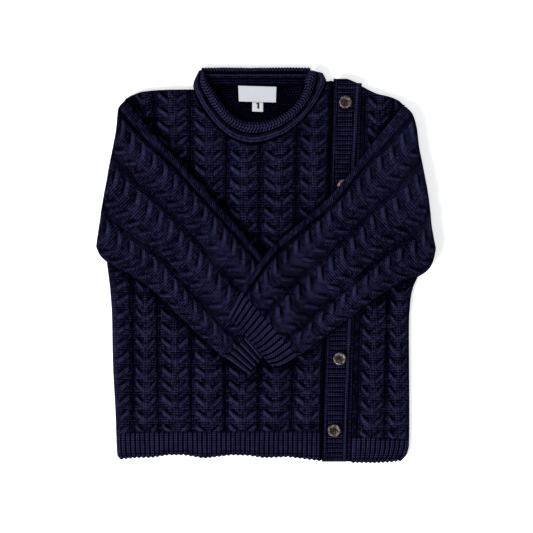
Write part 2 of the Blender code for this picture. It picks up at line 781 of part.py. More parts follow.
# ---- Back --------------------------------------------------------------------------------------
def build_back():
    """The back panel, flat on the surface, seen only inside the neck."""
    hem = [(x, y) for x, y in zip(HEM["x"], HEM["y"]) if SIDE_RIGHT["x"][0] < x < SIDE_LEFT["x"][0]]
    outline = hem + list(zip(SIDE_LEFT["x"], SIDE_LEFT["y"]))
    outline += list(zip(SHOULDER_LEFT["x"], SHOULDER_LEFT["y"]))[-2::-1]
    outline += [(48.0, BACK_NECK_SEAM), (-58.0, BACK_NECK_SEAM)]
    outline += list(zip(SHOULDER_RIGHT["x"], SHOULDER_RIGHT["y"]))[-1:0:-1]
    outline += list(zip(SIDE_RIGHT["x"], SIDE_RIGHT["y"]))[::-1]
    bm = bmesh.new()
    verts = [bm.verts.new(Vector((x, y, BACK_TOP)) * MM) for x, y in outline]
    bm.faces.new(verts)
    close_below(bm, 0.0)
    add_piece("back", bm, "navy_knit")


# ---- Neckband ----------------------------------------------------------------------------------
def build_neckband_front():
    """A wall that rises from the neck seam in a ridge, dips, and rolls over to its free edge."""
    shares = np.linspace(0.0, 1.0, NECK_STATIONS)
    inner = smooth_curve(np.stack([NECK["inner_x"], NECK["inner_y"]], axis=1), shares)
    seam = smooth_curve(np.stack([NECK["seam_x"], NECK["seam_y"]], axis=1), shares)
    across = np.concatenate([NECK_BAND_WALL["across"], NECK_BAND_INSIDE["across"]])
    height = np.concatenate([NECK_BAND_WALL["height"], NECK_BAND_INSIDE["height"]])
    bm = bmesh.new()

    def place(column, row):
        point = inner[row] + (seam[row] - inner[row]) * across[column]
        return (*point, height[column])

    sheet = grid_sheet(bm, len(across), NECK_STATIONS, place)
    for low, high in zip(sheet, sheet[1:]):
        bm.faces.new((low[-1], low[0], high[0], high[-1]))
    for ring in (sheet[0], sheet[-1]):
        outer, inside = ring[: len(NECK_BAND_WALL["across"])], ring[len(NECK_BAND_WALL["across"]) :]
        zip_rows(bm, outer, inside[::-1])
    add_piece("neckband_front", bm, "navy_rib")


def build_neckband_back():
    """The band across the back neck: a flat strip that ends in a rolled edge."""
    bm = bmesh.new()

    def place(column, row):
        share = row / (BACK_BAND_STATIONS - 1)
        y = BACK_BAND["y"][column] + 0.25 * (-1) ** row * (column >= len(BACK_BAND["y"]) - 2)
        left, right = look_up(BACK_BAND_ENDS, "left", y), look_up(BACK_BAND_ENDS, "right", y)
        return (left + (right - left) * share, y, BACK_BAND["height"][column])

    grid_sheet(bm, len(BACK_BAND["y"]), BACK_BAND_STATIONS, place)
    close_below(bm, 0.0)
    add_piece("neckband_back", bm, "navy_rib")


# ---- Bands -------------------------------------------------------------------------------------
def build_buttonhole_band(covers):
    """Ribs run across the band. Under the sleeve they are left plain."""
    ribs = round((BAND_TOP - BAND_BOTTOM) / BAND_RIB_PITCH)
    step = (BAND_TOP - BAND_BOTTOM) / (2 * ribs)
    levels = []
    for k in range(2 * ribs + 1):
        y = BAND_BOTTOM + step * k
        corners = [look_up(BUTTONHOLE_BAND, side, y) for side in ("left", "right")]
        hidden = all(any(well_under(x, y, cover) for cover in covers) for x in corners)
        if not hidden or k % PLAIN_STEP == 0:
            levels.append((y, 0.0 if hidden else BAND_RIB_RISE * (k % 2)))
    sides = ("left", "rib_left", "rib_right", "right")
    bm = bmesh.new()

    def place(column, row):
        y, rise = levels[row]
        x = look_up(BUTTONHOLE_BAND, sides[column], y)
        height = BUTTONHOLE_BAND_TOP + rise
        if column in (0, len(sides) - 1) or row in (0, len(levels) - 1):
            height = BUTTONHOLE_BAND_TOP - BAND_EDGE_SINK
        return (x, y, height)

    grid_sheet(bm, len(sides), len(levels), place)
    close_below(bm, BUTTONHOLE_BAND_INSIDE)
    add_piece("buttonhole_band", bm, "navy_rib")


def build_button_band():
    """The plain band that carries the buttons, under the buttonhole band."""
    bm = bmesh.new()

    def place(column, row):
        x = BUTTON_BAND[("left", "right")[column]][row]
        return (x, BUTTON_BAND["y"][row], BUTTON_BAND_TOP)

    grid_sheet(bm, 2, len(BUTTON_BAND["y"]), place)
    close_below(bm, FRONT_INSIDE)
    add_piece("button_band", bm, "navy_rib")


# ---- Buttons and labels ------------------------------------------------------------------------
def build_button(number, x, y, height):
    """A turned button with a dished middle and four holes through it."""
    bm = bmesh.new()
    profile = [
        bm.verts.new((radius * MM, 0.0, z * MM))
        for radius, z in zip(BUTTON_PROFILE["radius"], BUTTON_PROFILE["height"])
    ]
    edges = [bm.edges.new(pair) for pair in zip(profile, profile[1:])]
    bmesh.ops.spin(
        bm, geom=profile + edges, cent=(0, 0, 0), axis=(0, 0, 1), angle=2 * math.pi,
        steps=BUTTON_SIDES, use_merge=True,
    )
    bmesh.ops.remove_doubles(bm, verts=bm.verts, dist=0.001 * MM)
    bmesh.ops.translate(bm, verts=bm.verts, vec=(x * MM, y * MM, height * MM))
    piece = add_piece(f"button_{number}", bm, "horn_button", smooth_below=35.0)

    cutter = bmesh.new()
    for quarter in range(4):
        angle = math.radians(45 + 90 * quarter)
        middle = Vector((
            x + BUTTON_HOLE_OFFSET * math.cos(angle), y + BUTTON_HOLE_OFFSET * math.sin(angle), height + 0.8,
        ))
        bmesh.ops.create_cone(
            cutter, cap_ends=True, segments=BUTTON_HOLE_SIDES,
            radius1=BUTTON_HOLE_RADIUS * MM, radius2=BUTTON_HOLE_RADIUS * MM,
            depth=6.0 * MM, matrix=Matrix.Translation(middle * MM),
        )
    mesh = bpy.data.meshes.new(f"button_{number}_holes")
    cutter.to_mesh(mesh)
    cutter.free()
    holes = bpy.data.objects.new(f"button_{number}_holes", mesh)
    bpy.context.scene.collection.objects.link(holes)
    holes.hide_render = True
    holes.display_type = "WIRE"
    cut = piece.modifiers.new("holes", "BOOLEAN")
    cut.operation = "DIFFERENCE"
    cut.object = holes


def build_label(name, corners):
    """A flat woven tab on the inside of the back."""
    bm = bmesh.new()
    height = FRONT_INSIDE + LABEL_THICKNESS
    verts = [bm.verts.new(Vector((x, y, height)) * MM) for x, y in zip(corners["x"], corners["y"])]
    bm.faces.new(verts)
    close_below(bm, FRONT_INSIDE)
    add_piece(name, bm, "white_label")


# ---- The whole garment -------------------------------------------------------------------------
def sleeve_outline(edges):
    dense = np.linspace(0.0, 1.0, 25)
    upper = smooth_curve(np.stack([edges["upper_x"], edges["upper_y"]], axis=1), dense)
    lower = smooth_curve(np.stack([edges["lower_x"], edges["lower_y"]], axis=1), dense)
    return np.vstack([upper, lower[::-1]])


LOWER_SLEEVE_OUTLINE = sleeve_outline(SLEEVE_RIGHT_EDGES)
UPPER_SLEEVE_OUTLINE = sleeve_outline(SLEEVE_LEFT_EDGES)
BAND_OUTLINE = np.array(
    list(zip(BUTTONHOLE_BAND["left"], BUTTONHOLE_BAND["y"]))
    + list(zip(BUTTONHOLE_BAND["right"], BUTTONHOLE_BAND["y"]))[::-1]
)
LOWER_SLEEVE_TOP = SLEEVE_REST + 2 * SLEEVE_WALL + SLEEVE_HOLLOW["height"].max() + CABLE_RISE
HIDDEN_BUTTONS = slice(1, 3)  # the two that the upper sleeve covers
BUTTON_REST = BUTTONHOLE_BAND_TOP + BAND_RIB_RISE + SEAM
BUTTON_TOP = BUTTON_REST + BUTTON_PROFILE["height"].max()


def rest_on_front(x, y):
    return SLEEVE_REST


def rest_on_everything(x, y):
    """Height of the upper sleeve's underside, over the band, the hidden buttons and the lower sleeve."""
    lifts = [
        (LOWER_SLEEVE_TOP, outside_distance(x, y, LOWER_SLEEVE_OUTLINE), CROSSING_REACH),
        (BUTTONHOLE_BAND_TOP + BAND_RIB_RISE, outside_distance(x, y, BAND_OUTLINE), BAND_REACH),
    ]
    for button_x, button_y in zip(BUTTONS["x"][HIDDEN_BUTTONS], BUTTONS["y"][HIDDEN_BUTTONS]):
        distance = math.hypot(x - button_x, y - button_y) - BUTTON_RADIUS - BUTTON_BULGE
        lifts.append((BUTTON_TOP + SEAM, distance, BUTTON_REACH))
    rises = [
        (top + CLEARANCE - SLEEVE_REST) * smooth_step(1.0 - distance / reach)
        for top, distance, reach in lifts
    ]
    return SLEEVE_REST + max(rises)


def main():
    for old in list(bpy.data.objects):
        bpy.data.objects.remove(old, do_unlink=True)
    covers = [LOWER_SLEEVE_OUTLINE, UPPER_SLEEVE_OUTLINE]
    build_back()
    build_fronts(covers)
    right = Sleeve("sleeve_right", SLEEVE_RIGHT_EDGES, BOW_RIGHT, rest_on_front, 5, 12, UPPER_SLEEVE_OUTLINE)
    right.build()
    Sleeve("sleeve_left", SLEEVE_LEFT_EDGES, BOW_LEFT, rest_on_everything, 9, 19).build()
    build_neckband_front()
    build_neckband_back()
    build_buttonhole_band(covers)
    build_button_band()
    for number, (x, y) in enumerate(zip(BUTTONS["x"], BUTTONS["y"]), start=1):
        build_button(number, x, y, BUTTON_REST)
    build_label("neck_label", NECK_LABEL)
    build_label("size_label", SIZE_LABEL)


main()
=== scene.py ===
"""Looks of a child's cable-knit cardigan, laid flat with both sleeves folded across the front.

Sizes in the tables are millimetres. X runs to the viewer's right, Y towards the collar and Z up
from the surface that the garment lies on. Left and right in names are the wearer's.
"""

import logging
import math
from dataclasses import dataclass, field
from enum import Enum
from typing import Callable

import bmesh
import bpy
import numpy as np
from mathutils import Matrix, Vector


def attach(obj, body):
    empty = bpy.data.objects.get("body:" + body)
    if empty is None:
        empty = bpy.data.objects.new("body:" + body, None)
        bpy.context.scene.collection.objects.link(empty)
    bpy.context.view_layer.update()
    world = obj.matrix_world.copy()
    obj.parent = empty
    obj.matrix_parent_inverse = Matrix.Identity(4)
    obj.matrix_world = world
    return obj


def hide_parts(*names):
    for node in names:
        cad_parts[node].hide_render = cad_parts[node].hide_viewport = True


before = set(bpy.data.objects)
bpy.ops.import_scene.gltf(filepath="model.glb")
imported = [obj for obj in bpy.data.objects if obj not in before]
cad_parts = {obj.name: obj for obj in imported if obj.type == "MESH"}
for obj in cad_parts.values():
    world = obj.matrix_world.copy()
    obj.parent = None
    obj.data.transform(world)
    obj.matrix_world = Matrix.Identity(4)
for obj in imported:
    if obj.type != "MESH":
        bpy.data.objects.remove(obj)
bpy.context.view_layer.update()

LOG = logging.getLogger("cardigan")
MM = 0.001
Array = np.ndarray
Table = dict[str, Array]


# ---- Numbers shared by the pieces --------------------------------------------------------------
def table(columns: str, *rows: tuple[float, ...]) -> Table:
    """Makes named columns of numbers.

    Args:
        columns: The names, with spaces between them.
        rows: One row of numbers for each section.

    Returns:
        Each name with its column.
    """
    return dict(zip(columns.split(), np.array(rows, float).T))


REPEAT = 13.3  # length of one cable repeat
LEAN = 7.4  # how far an arm of the cable runs along its column
RIB_PITCH = 4.45
WALE = 2.8  # width of one knit stitch
COURSE = 2.3  # height of one knit stitch

BACK_TOP = 2.2
FRONT_INSIDE = 2.5
FRONT_TOP = 4.6
CABLE_RISE = 2.2
SLEEVE_REST = FRONT_TOP + CABLE_RISE + 0.4
SLEEVE_WALL = 2.0
BUTTON_BAND_TOP = 4.6
HOLE_BAND_INSIDE = 4.9
HOLE_BAND_TOP = 6.8
BUTTON_REST = HOLE_BAND_TOP + 1.3
BUTTON_TOP = BUTTON_REST + 2.6

SIDE_RIGHT = table(
    "y x",
    (-178.0, -135.0), (-172.0, -137.3), (-135.0, -138.7), (-91.0, -141.0), (-47.0, -141.9),
    (-25.0, -143.3), (-10.0, -145.0), (3.0, -146.6), (14.0, -147.4), (27.6, -147.0), (56.3, -142.5),
    (86.2, -136.9), (116.1, -131.4), (129.9, -129.7), (137.8, -128.2), (145.0, -124.0),
    (152.9, -129.8),
)
SIDE_LEFT = table(
    "y x",
    (-179.2, 126.0), (-171.8, 130.9), (-151.6, 132.5), (-59.6, 132.2), (-39.3, 133.0), (-28.3, 134.1),
    (-19.1, 136.4), (-9.9, 140.5), (0.0, 144.0), (12.9, 146.6), (27.3, 146.0), (42.2, 144.9),
    (56.9, 143.0), (71.5, 140.3), (87.4, 137.3), (101.9, 134.5), (116.6, 132.2), (127.0, 129.0),
    (132.0, 125.6), (136.6, 123.8), (139.6, 122.6), (147.5, 128.4),
)
HEM = table(
    "x y",
    (-138.0, -178.6), (-119.4, -176.8), (-104.7, -176.6), (-89.9, -174.3), (-75.2, -174.3),
    (-56.8, -177.3), (-31.1, -174.3), (-16.3, -174.8), (-1.6, -176.9), (20.5, -176.0), (42.6, -178.7),
    (60.0, -181.0), (101.4, -181.5), (116.2, -180.6), (131.0, -178.6),
)
HEM_RIB_TOP = table(
    "x y",
    (-140.0, -156.0), (-112.0, -153.4), (50.0, -153.2), (80.0, -158.5), (132.0, -161.0),
)
SHOULDER_RIGHT = table(
    "x y",
    (-129.0, 153.4), (-124.0, 156.2), (-117.4, 159.0), (-112.0, 160.2), (-97.3, 161.6), (-67.5, 162.2),
)
SHOULDER_LEFT = table(
    "x y",
    (62.0, 169.8), (79.4, 169.4), (87.0, 166.0), (101.4, 158.6), (114.2, 155.4), (122.5, 151.8),
    (126.3, 148.1),
)
NECK = table(
    "inner_x inner_y seam_x seam_y",
    (-57.3, 180.4, -61.8, 179.2), (-55.4, 174.1, -66.5, 168.6), (-52.2, 167.2, -66.2, 161.2),
    (-48.3, 161.1, -62.6, 153.0), (-43.1, 153.0, -56.4, 141.9), (-33.9, 141.6, -44.9, 127.7),
    (-23.7, 134.1, -31.5, 117.1), (-11.3, 132.0, -14.5, 112.0), (1.0, 133.2, 1.2, 114.3),
    (15.0, 138.7, 19.1, 121.7), (25.9, 147.4, 33.8, 133.6), (33.5, 158.0, 44.9, 147.0),
    (36.1, 166.8, 51.3, 157.6), (37.0, 174.1, 55.9, 168.6), (40.4, 179.8, 52.8, 177.0),
)
HEM_GUIDE_Y, YOKE_GUIDE_Y = -137.8, 124.4
WIDE_GUTTERS = table(
    "hem yoke",
    (-122.1, -121.5), (-98.2, -102.8), (-67.9, -68.8), (-37.1, -35.6), (-5.6, -4.4), (24.5, 29.7),
    (52.2, 60.1),
)
NARROW_GUTTERS = table("hem yoke", (79.9, 87.8), (85.0, 91.6), (110.6, 117.1))
HOLE_BAND = table(
    "y left rib_left rib_right right",
    (-181.0, 51.7, 55.6, 70.2, 74.0), (-124.0, 53.4, 57.2, 72.2, 75.9),
    (-52.0, 55.6, 59.4, 75.0, 79.4), (94.0, 60.0, 63.8, 78.4, 82.6), (171.0, 62.4, 66.6, 82.6, 87.2),
)
BUTTON_BAND = table("y left right", (-179.4, 51.8, 78.0), (168.0, 62.2, 88.6))
SLEEVE_RIGHT_EDGES = table(
    "upper_x upper_y lower_x lower_y",
    (-129.4, 152.8, -155.6, 17.0), (-104.0, 122.0, -146.0, 3.4), (-68.0, 82.6, -108.0, -19.6),
    (-32.0, 42.8, -75.9, -50.6), (-2.0, 6.0, -43.7, -80.8), (14.5, -23.0, -33.0, -88.4),
    (23.8, -52.3, -16.4, -100.5),
)
SLEEVE_LEFT_EDGES = table(
    "upper_x upper_y lower_x lower_y",
    (126.8, 147.4, 155.4, 16.0), (114.5, 132.2, 151.0, -0.5), (98.7, 112.8, 141.5, -9.6),
    (63.3, 67.8, 121.7, -17.2), (34.0, 41.0, 77.9, -48.2), (3.2, 13.7, 44.4, -73.9),
    (-21.3, -21.1, 18.6, -90.7), (-34.6, -45.8, 6.5, -93.4),
)
BOW_RIGHT = table(  # how far a sleeve's side fold bows out of the straight line between its ends
    "share out",
    (0.0, 0.0), (0.06, 4.9), (0.12, 4.5), (0.22, 3.5), (0.44, 3.3), (0.66, 3.1), (0.87, 2.0), (1.0, 1.0),
)
BOW_LEFT = table(
    "share out",
    (0.0, 0.0), (0.02, 3.2), (0.08, 7.2), (0.19, 7.8), (0.30, 6.5), (0.41, 6.1), (0.53, 5.6), (0.64, 5.2),
    (0.75, 3.8), (0.86, 2.0), (1.0, 1.6),
)
SLEEVE_GUTTERS = table(
    "fold cuff", (0.00, 0.00), (0.07, 0.07), (0.37, 0.42), (0.72, 0.79), (1.00, 1.00)
)
SLEEVE_HOLLOW = table("share height", (0.0, 0.9), (0.25, 1.7), (0.5, 2.0), (0.75, 1.7), (1.0, 0.9))
BUTTONS = table("x y", (73.4, 150.0), (71.8, 73.2), (69.7, -8.4), (68.0, -85.9), (62.9, -152.0))
BUTTON_RADIUS = 5.8


# ---- Curves and distances ----------------------------------------------------------------------
def read(rows: Table, column: str, at: Array, key: str = "y") -> Array:
    """Reads a table's column between its rows.

    Args:
        rows: The table.
        column: The column that is wanted.
        at: Where it is wanted, in the key column's terms.
        key: The column that is in rising order.

    Returns:
        The values there.
    """
    return np.interp(at, rows[key], rows[column])


def smooth_curve(points: Array, fractions: Array) -> Array:
    """Places points on a smooth curve through the given ones.

    Args:
        points: The points that it passes through, one a row.
        fractions: Shares of the curve's length.

    Returns:
        One point for each share.
    """
    points = np.asarray(points, float)
    padded = np.vstack([2 * points[:1] - points[1:2], points, 2 * points[-1:] - points[-2:-1]])
    t = np.linspace(0.0, 1.0, 24, endpoint=False)[:, None]
    dense = []
    for a, b, c, d in zip(padded, padded[1:], padded[2:], padded[3:]):
        cubic = 2 * a - 5 * b + 4 * c - d + t * (3 * b - a - 3 * c + d)
        dense.append(b + 0.5 * t * (c - a + t * cubic))
    line = np.vstack(dense + [points[-1:]])
    steps = np.linalg.norm(np.diff(line, axis=0), axis=1)
    lengths = np.concatenate([[0.0], np.cumsum(steps)])
    wanted = np.asarray(fractions) * lengths[-1]
    return np.stack([np.interp(wanted, lengths, column) for column in line.T], axis=-1)


def smoothed(rows: Table, key: str) -> Table:
    """Refines a table along a smooth curve through its rows.

    Args:
        rows: The table, of two columns.
        key: The column that stays in rising order.

    Returns:
        The same columns with many more rows.
    """
    names = list(rows)
    line = smooth_curve(np.stack([rows[n] for n in names], axis=1), np.linspace(0.0, 1.0, 400))
    refined = dict(zip(names, line.T))
    refined[key] = np.maximum.accumulate(refined[key])
    return refined


def ease(value: Array) -> Array:
    """Goes smoothly from 0 to 1 as the value does."""
    value = np.clip(value, 0.0, 1.0)
    return value * value * (3.0 - 2.0 * value)


def rounding(distance: Array, radius: float) -> Array:
    """Gives the share of the full height at a distance from a rounded edge.

    Args:
        distance: Millimetres inwards from the edge.
        radius: How far the rounding reaches.

    Returns:
        0 at the edge, rising steeply to 1 at the radius.
    """
    inwards = np.clip(distance / radius, 0.0, 1.0)
    return np.sqrt(np.clip(1.0 - (1.0 - inwards) ** 2, 0.0, 1.0))


def bell(value: Array, width: float) -> Array:
    """Gives 1 at zero, falling away smoothly on both sides over the width."""
    return np.exp(-((value / width) ** 2))


def humps(count: Array) -> Array:
    """Gives a row of round humps from 0 to 1, one for each whole count."""
    return np.abs(np.sin(math.pi * count))


def outside_distance(x: Array, y: Array, outline: Array) -> Array:
    """Measures how far points lie outside a closed outline, or minus how deep in it.

    Args:
        x: The points' first coordinates.
        y: Their second ones.
        outline: The outline's corners in order.

    Returns:
        One distance for each point.
    """
    nearest = np.full(x.shape, np.inf)
    inside = np.zeros(x.shape, bool)
    for (ax, ay), (bx, by) in zip(outline, np.roll(outline, -1, axis=0)):
        side_x, side_y = bx - ax, by - ay
        length = side_x**2 + side_y**2 + 1e-12
        along = np.clip(((x - ax) * side_x + (y - ay) * side_y) / length, 0.0, 1.0)
        nearest = np.minimum(nearest, np.hypot(x - ax - along * side_x, y - ay - along * side_y))
        straddles = (ay > y) != (by > y)
        crossing = ax + (y - ay) / np.where(straddles, side_y, 1.0) * side_x
        inside ^= straddles & (crossing > x)
    return np.where(inside, -nearest, nearest)


def unevenness(x: Array, y: Array, size: float) -> Array:
    """Gives slow, repeatable irregularity, as hand-pulled knitting has.

    Args:
        x: Places in millimetres.
        y: Places in millimetres.
        size: Rough width of its lumps in millimetres.

    Returns:
        Values from about -1 to 1.
    """
    total = np.zeros(np.broadcast(x, y).shape)
    for turn, (stretch, shift) in enumerate(((1.0, 0.3), (1.7, 2.1), (2.6, 4.4), (3.9, 1.2))):
        angle = 0.7 + 1.9 * turn
        along = (x * math.cos(angle) + y * math.sin(angle)) * stretch / size
        over = (y * math.cos(angle) - x * math.sin(angle)) * stretch / size
        total += np.sin(along * 3.1 + shift) * np.cos(over * 2.3 + 2 * shift) / stretch**0.5
    return total / 2.2


# ---- Meshes ------------------------------------------------------------------------------------
def freeze(bm: bmesh.types.BMesh, name: str) -> bpy.types.Mesh:
    """Turns what was edited into a mesh of its own."""
    mesh = bpy.data.meshes.new(name)
    bm.to_mesh(mesh)
    bm.free()
    return mesh


def put(name: str, data: bpy.types.ID) -> bpy.types.Object:
    """Puts an object with this name and data into the scene."""
    made = bpy.data.objects.new(name, data)
    bpy.context.scene.collection.objects.link(made)
    return made


def points_of(mesh: bpy.types.Mesh) -> Array:
    """Reads a mesh's points, one a row, in metres."""
    points = np.empty(len(mesh.vertices) * 3)
    mesh.vertices.foreach_get("co", points)
    return points.reshape(-1, 3)


def mark(mesh: bpy.types.Mesh, name: str, values: Array) -> None:
    """Gives each point three numbers, which the materials read by this name."""
    layer = mesh.attributes.new(name, "FLOAT_VECTOR", "POINT")
    layer.data.foreach_set("vector", np.ascontiguousarray(values, float).ravel())


# ---- Shaders -----------------------------------------------------------------------------------
@dataclass(frozen=True)
class Value:
    """A number's socket, so that an expression on it adds the nodes of its maths."""

    nodes: "Nodes"
    socket: bpy.types.NodeSocket

    def maths(self, operation: str, *others: "Value | float") -> "Value":
        """Adds one Math node.

        Args:
            operation: The node's operation.
            others: What goes into its further sockets.

        Returns:
            The node's result.
        """
        node = self.nodes.add("ShaderNodeMath", {"operation": operation})
        for socket, given in zip(node.inputs, (self, *others)):
            self.nodes.feed(socket, given)
        return Value(self.nodes, node.outputs[0])

    def flipped(self, operation: str, other: float) -> "Value":
        """Adds one Math node whose first number is the other one.

        Args:
            operation: The node's operation.
            other: The number on the left of the operator.

        Returns:
            The node's result.
        """
        node = self.nodes.add("ShaderNodeMath", {"operation": operation})
        self.nodes.feed(node.inputs[0], other)
        self.nodes.feed(node.inputs[1], self)
        return Value(self.nodes, node.outputs[0])

    def __add__(self, other: "Value | float") -> "Value":
        """Adds a value."""
        return self.maths("ADD", other)

    __radd__ = __add__

    def __mul__(self, other: "Value | float") -> "Value":
        """Multiplies by a value."""
        return self.maths("MULTIPLY", other)

    __rmul__ = __mul__

    def __sub__(self, other: "Value | float") -> "Value":
        """Takes a value away."""
        return self.maths("SUBTRACT", other)

    def __rsub__(self, other: float) -> "Value":
        """Is taken away from a number."""
        return self.flipped("SUBTRACT", other)

    def __truediv__(self, other: "Value | float") -> "Value":
        """Divides by a value."""
        return self.maths("DIVIDE", other)

    def __pow__(self, other: float) -> "Value":
        """Is raised to a power."""
        return self.maths("POWER", other)

    def __gt__(self, other: float) -> "Value":
        """Is 1 where it is over a number, and 0 elsewhere."""
        return self.maths("GREATER_THAN", other)

    def fraction(self) -> "Value":
        """Keeps what follows the decimal point."""
        return self.maths("FRACT")

    def floor(self) -> "Value":
        """Rounds down."""
        return self.maths("FLOOR")

    def sine(self) -> "Value":
        """Takes the sine."""
        return self.maths("SINE")

    def size(self) -> "Value":
        """Drops the sign."""
        return self.maths("ABSOLUTE")

    def held(self) -> "Value":
        """Stays between 0 and 1."""
        return self.maths("MAXIMUM", 0.0).maths("MINIMUM", 1.0)


Feed = Value | bpy.types.NodeSocket | float | tuple[float, ...]


@dataclass
class Nodes:
    """A new material's node tree."""

    material: bpy.types.Material

    @classmethod
    def of(cls, name: str) -> "Nodes":
        """Starts a material with an empty tree.

        Args:
            name: The material's name.

        Returns:
            Its nodes.
        """
        material = bpy.data.materials.new(name)
        material.use_nodes = True
        material.node_tree.nodes.clear()
        return cls(material)

    def feed(self, socket: bpy.types.NodeSocket, given: Feed) -> None:
        """Links or sets one input.

        Args:
            socket: The input.
            given: A value, a socket, a number or a colour.
        """
        if isinstance(given, Value):
            given = given.socket
        if isinstance(given, bpy.types.NodeSocket):
            self.material.node_tree.links.new(given, socket)
        else:
            socket.default_value = given

    def add(self, kind: str, settings: dict | None = None, **inputs: Feed) -> bpy.types.Node:
        """Adds one node.

        Args:
            kind: The node's type.
            settings: What is set before its sockets are fed.
            inputs: Its sockets by name, with _ for a space, and what each gets.

        Returns:
            The node.
        """
        node = self.material.node_tree.nodes.new(kind)
        for name, setting in (settings or {}).items():
            setattr(node, name, setting)
        for name, given in inputs.items():
            self.feed(node.inputs[name.replace("_", " ")], given)
        return node

    def number(self, node: bpy.types.Node, output: int | str = 0) -> Value:
        """Wraps a node's output as a value."""
        return Value(self, node.outputs[output])

    def attribute(self, name: str) -> tuple[Value, Value, Value]:
        """Reads the three numbers of a piece's own attribute.

        Args:
            name: The attribute.

        Returns:
            Its numbers.
        """
        read_node = self.add("ShaderNodeAttribute", {"attribute_name": name})
        parts = self.add("ShaderNodeSeparateXYZ", None, Vector=read_node.outputs["Vector"])
        return self.number(parts, 0), self.number(parts, 1), self.number(parts, 2)

    def place(self) -> bpy.types.NodeSocket:
        """Reads the place on the piece, in metres."""
        return self.add("ShaderNodeTexCoord").outputs["Object"]

    def noise(self, scale: float, detail: float = 2.0, roughness: float = 0.5) -> Value:
        """Adds cloudy noise over the piece.

        Args:
            scale: Lumps in a metre.
            detail: How many finer layers it has.
            roughness: How strong those are.

        Returns:
            Values around 0.5.
        """
        node = self.add(
            "ShaderNodeTexNoise", None, Vector=self.place(), Scale=scale, Detail=detail, Roughness=roughness
        )
        return self.number(node, "Fac" if "Fac" in node.outputs else 0)

    def mix(self, share: Feed, first: Feed, second: Feed) -> bpy.types.NodeSocket:
        """Mixes two colours.

        Args:
            share: How much of the second one shows.
            first: A colour.
            second: A colour.

        Returns:
            The mixed colour.
        """
        node = self.add("ShaderNodeMix", {"data_type": "RGBA"})
        self.feed(node.inputs[0], share)
        self.feed(node.inputs[6], (*first, 1.0) if isinstance(first, tuple) else first)
        self.feed(node.inputs[7], (*second, 1.0) if isinstance(second, tuple) else second)
        return node.outputs[2]

    def bump(self, height: Value, distance: float, strength: float = 1.0) -> bpy.types.NodeSocket:
        """Turns a height into a bent normal.

        Args:
            height: The height, in shares of the distance.
            distance: The full height in metres.
            strength: How much of it counts.

        Returns:
            The normal.
        """
        node = self.add("ShaderNodeBump", None, Height=height, Distance=distance, Strength=strength)
        return node.outputs["Normal"]

    def finish(self, **inputs: Feed) -> bpy.types.Material:
        """Adds the Principled shader and the output.

        Args:
            inputs: The shader's sockets by name, with _ for a space.

        Returns:
            The finished material.
        """
        shader = self.add("ShaderNodeBsdfPrincipled", None, **inputs)
        output = self.add("ShaderNodeOutputMaterial")
        self.material.node_tree.links.new(shader.outputs[0], output.inputs["Surface"])
        return self.material


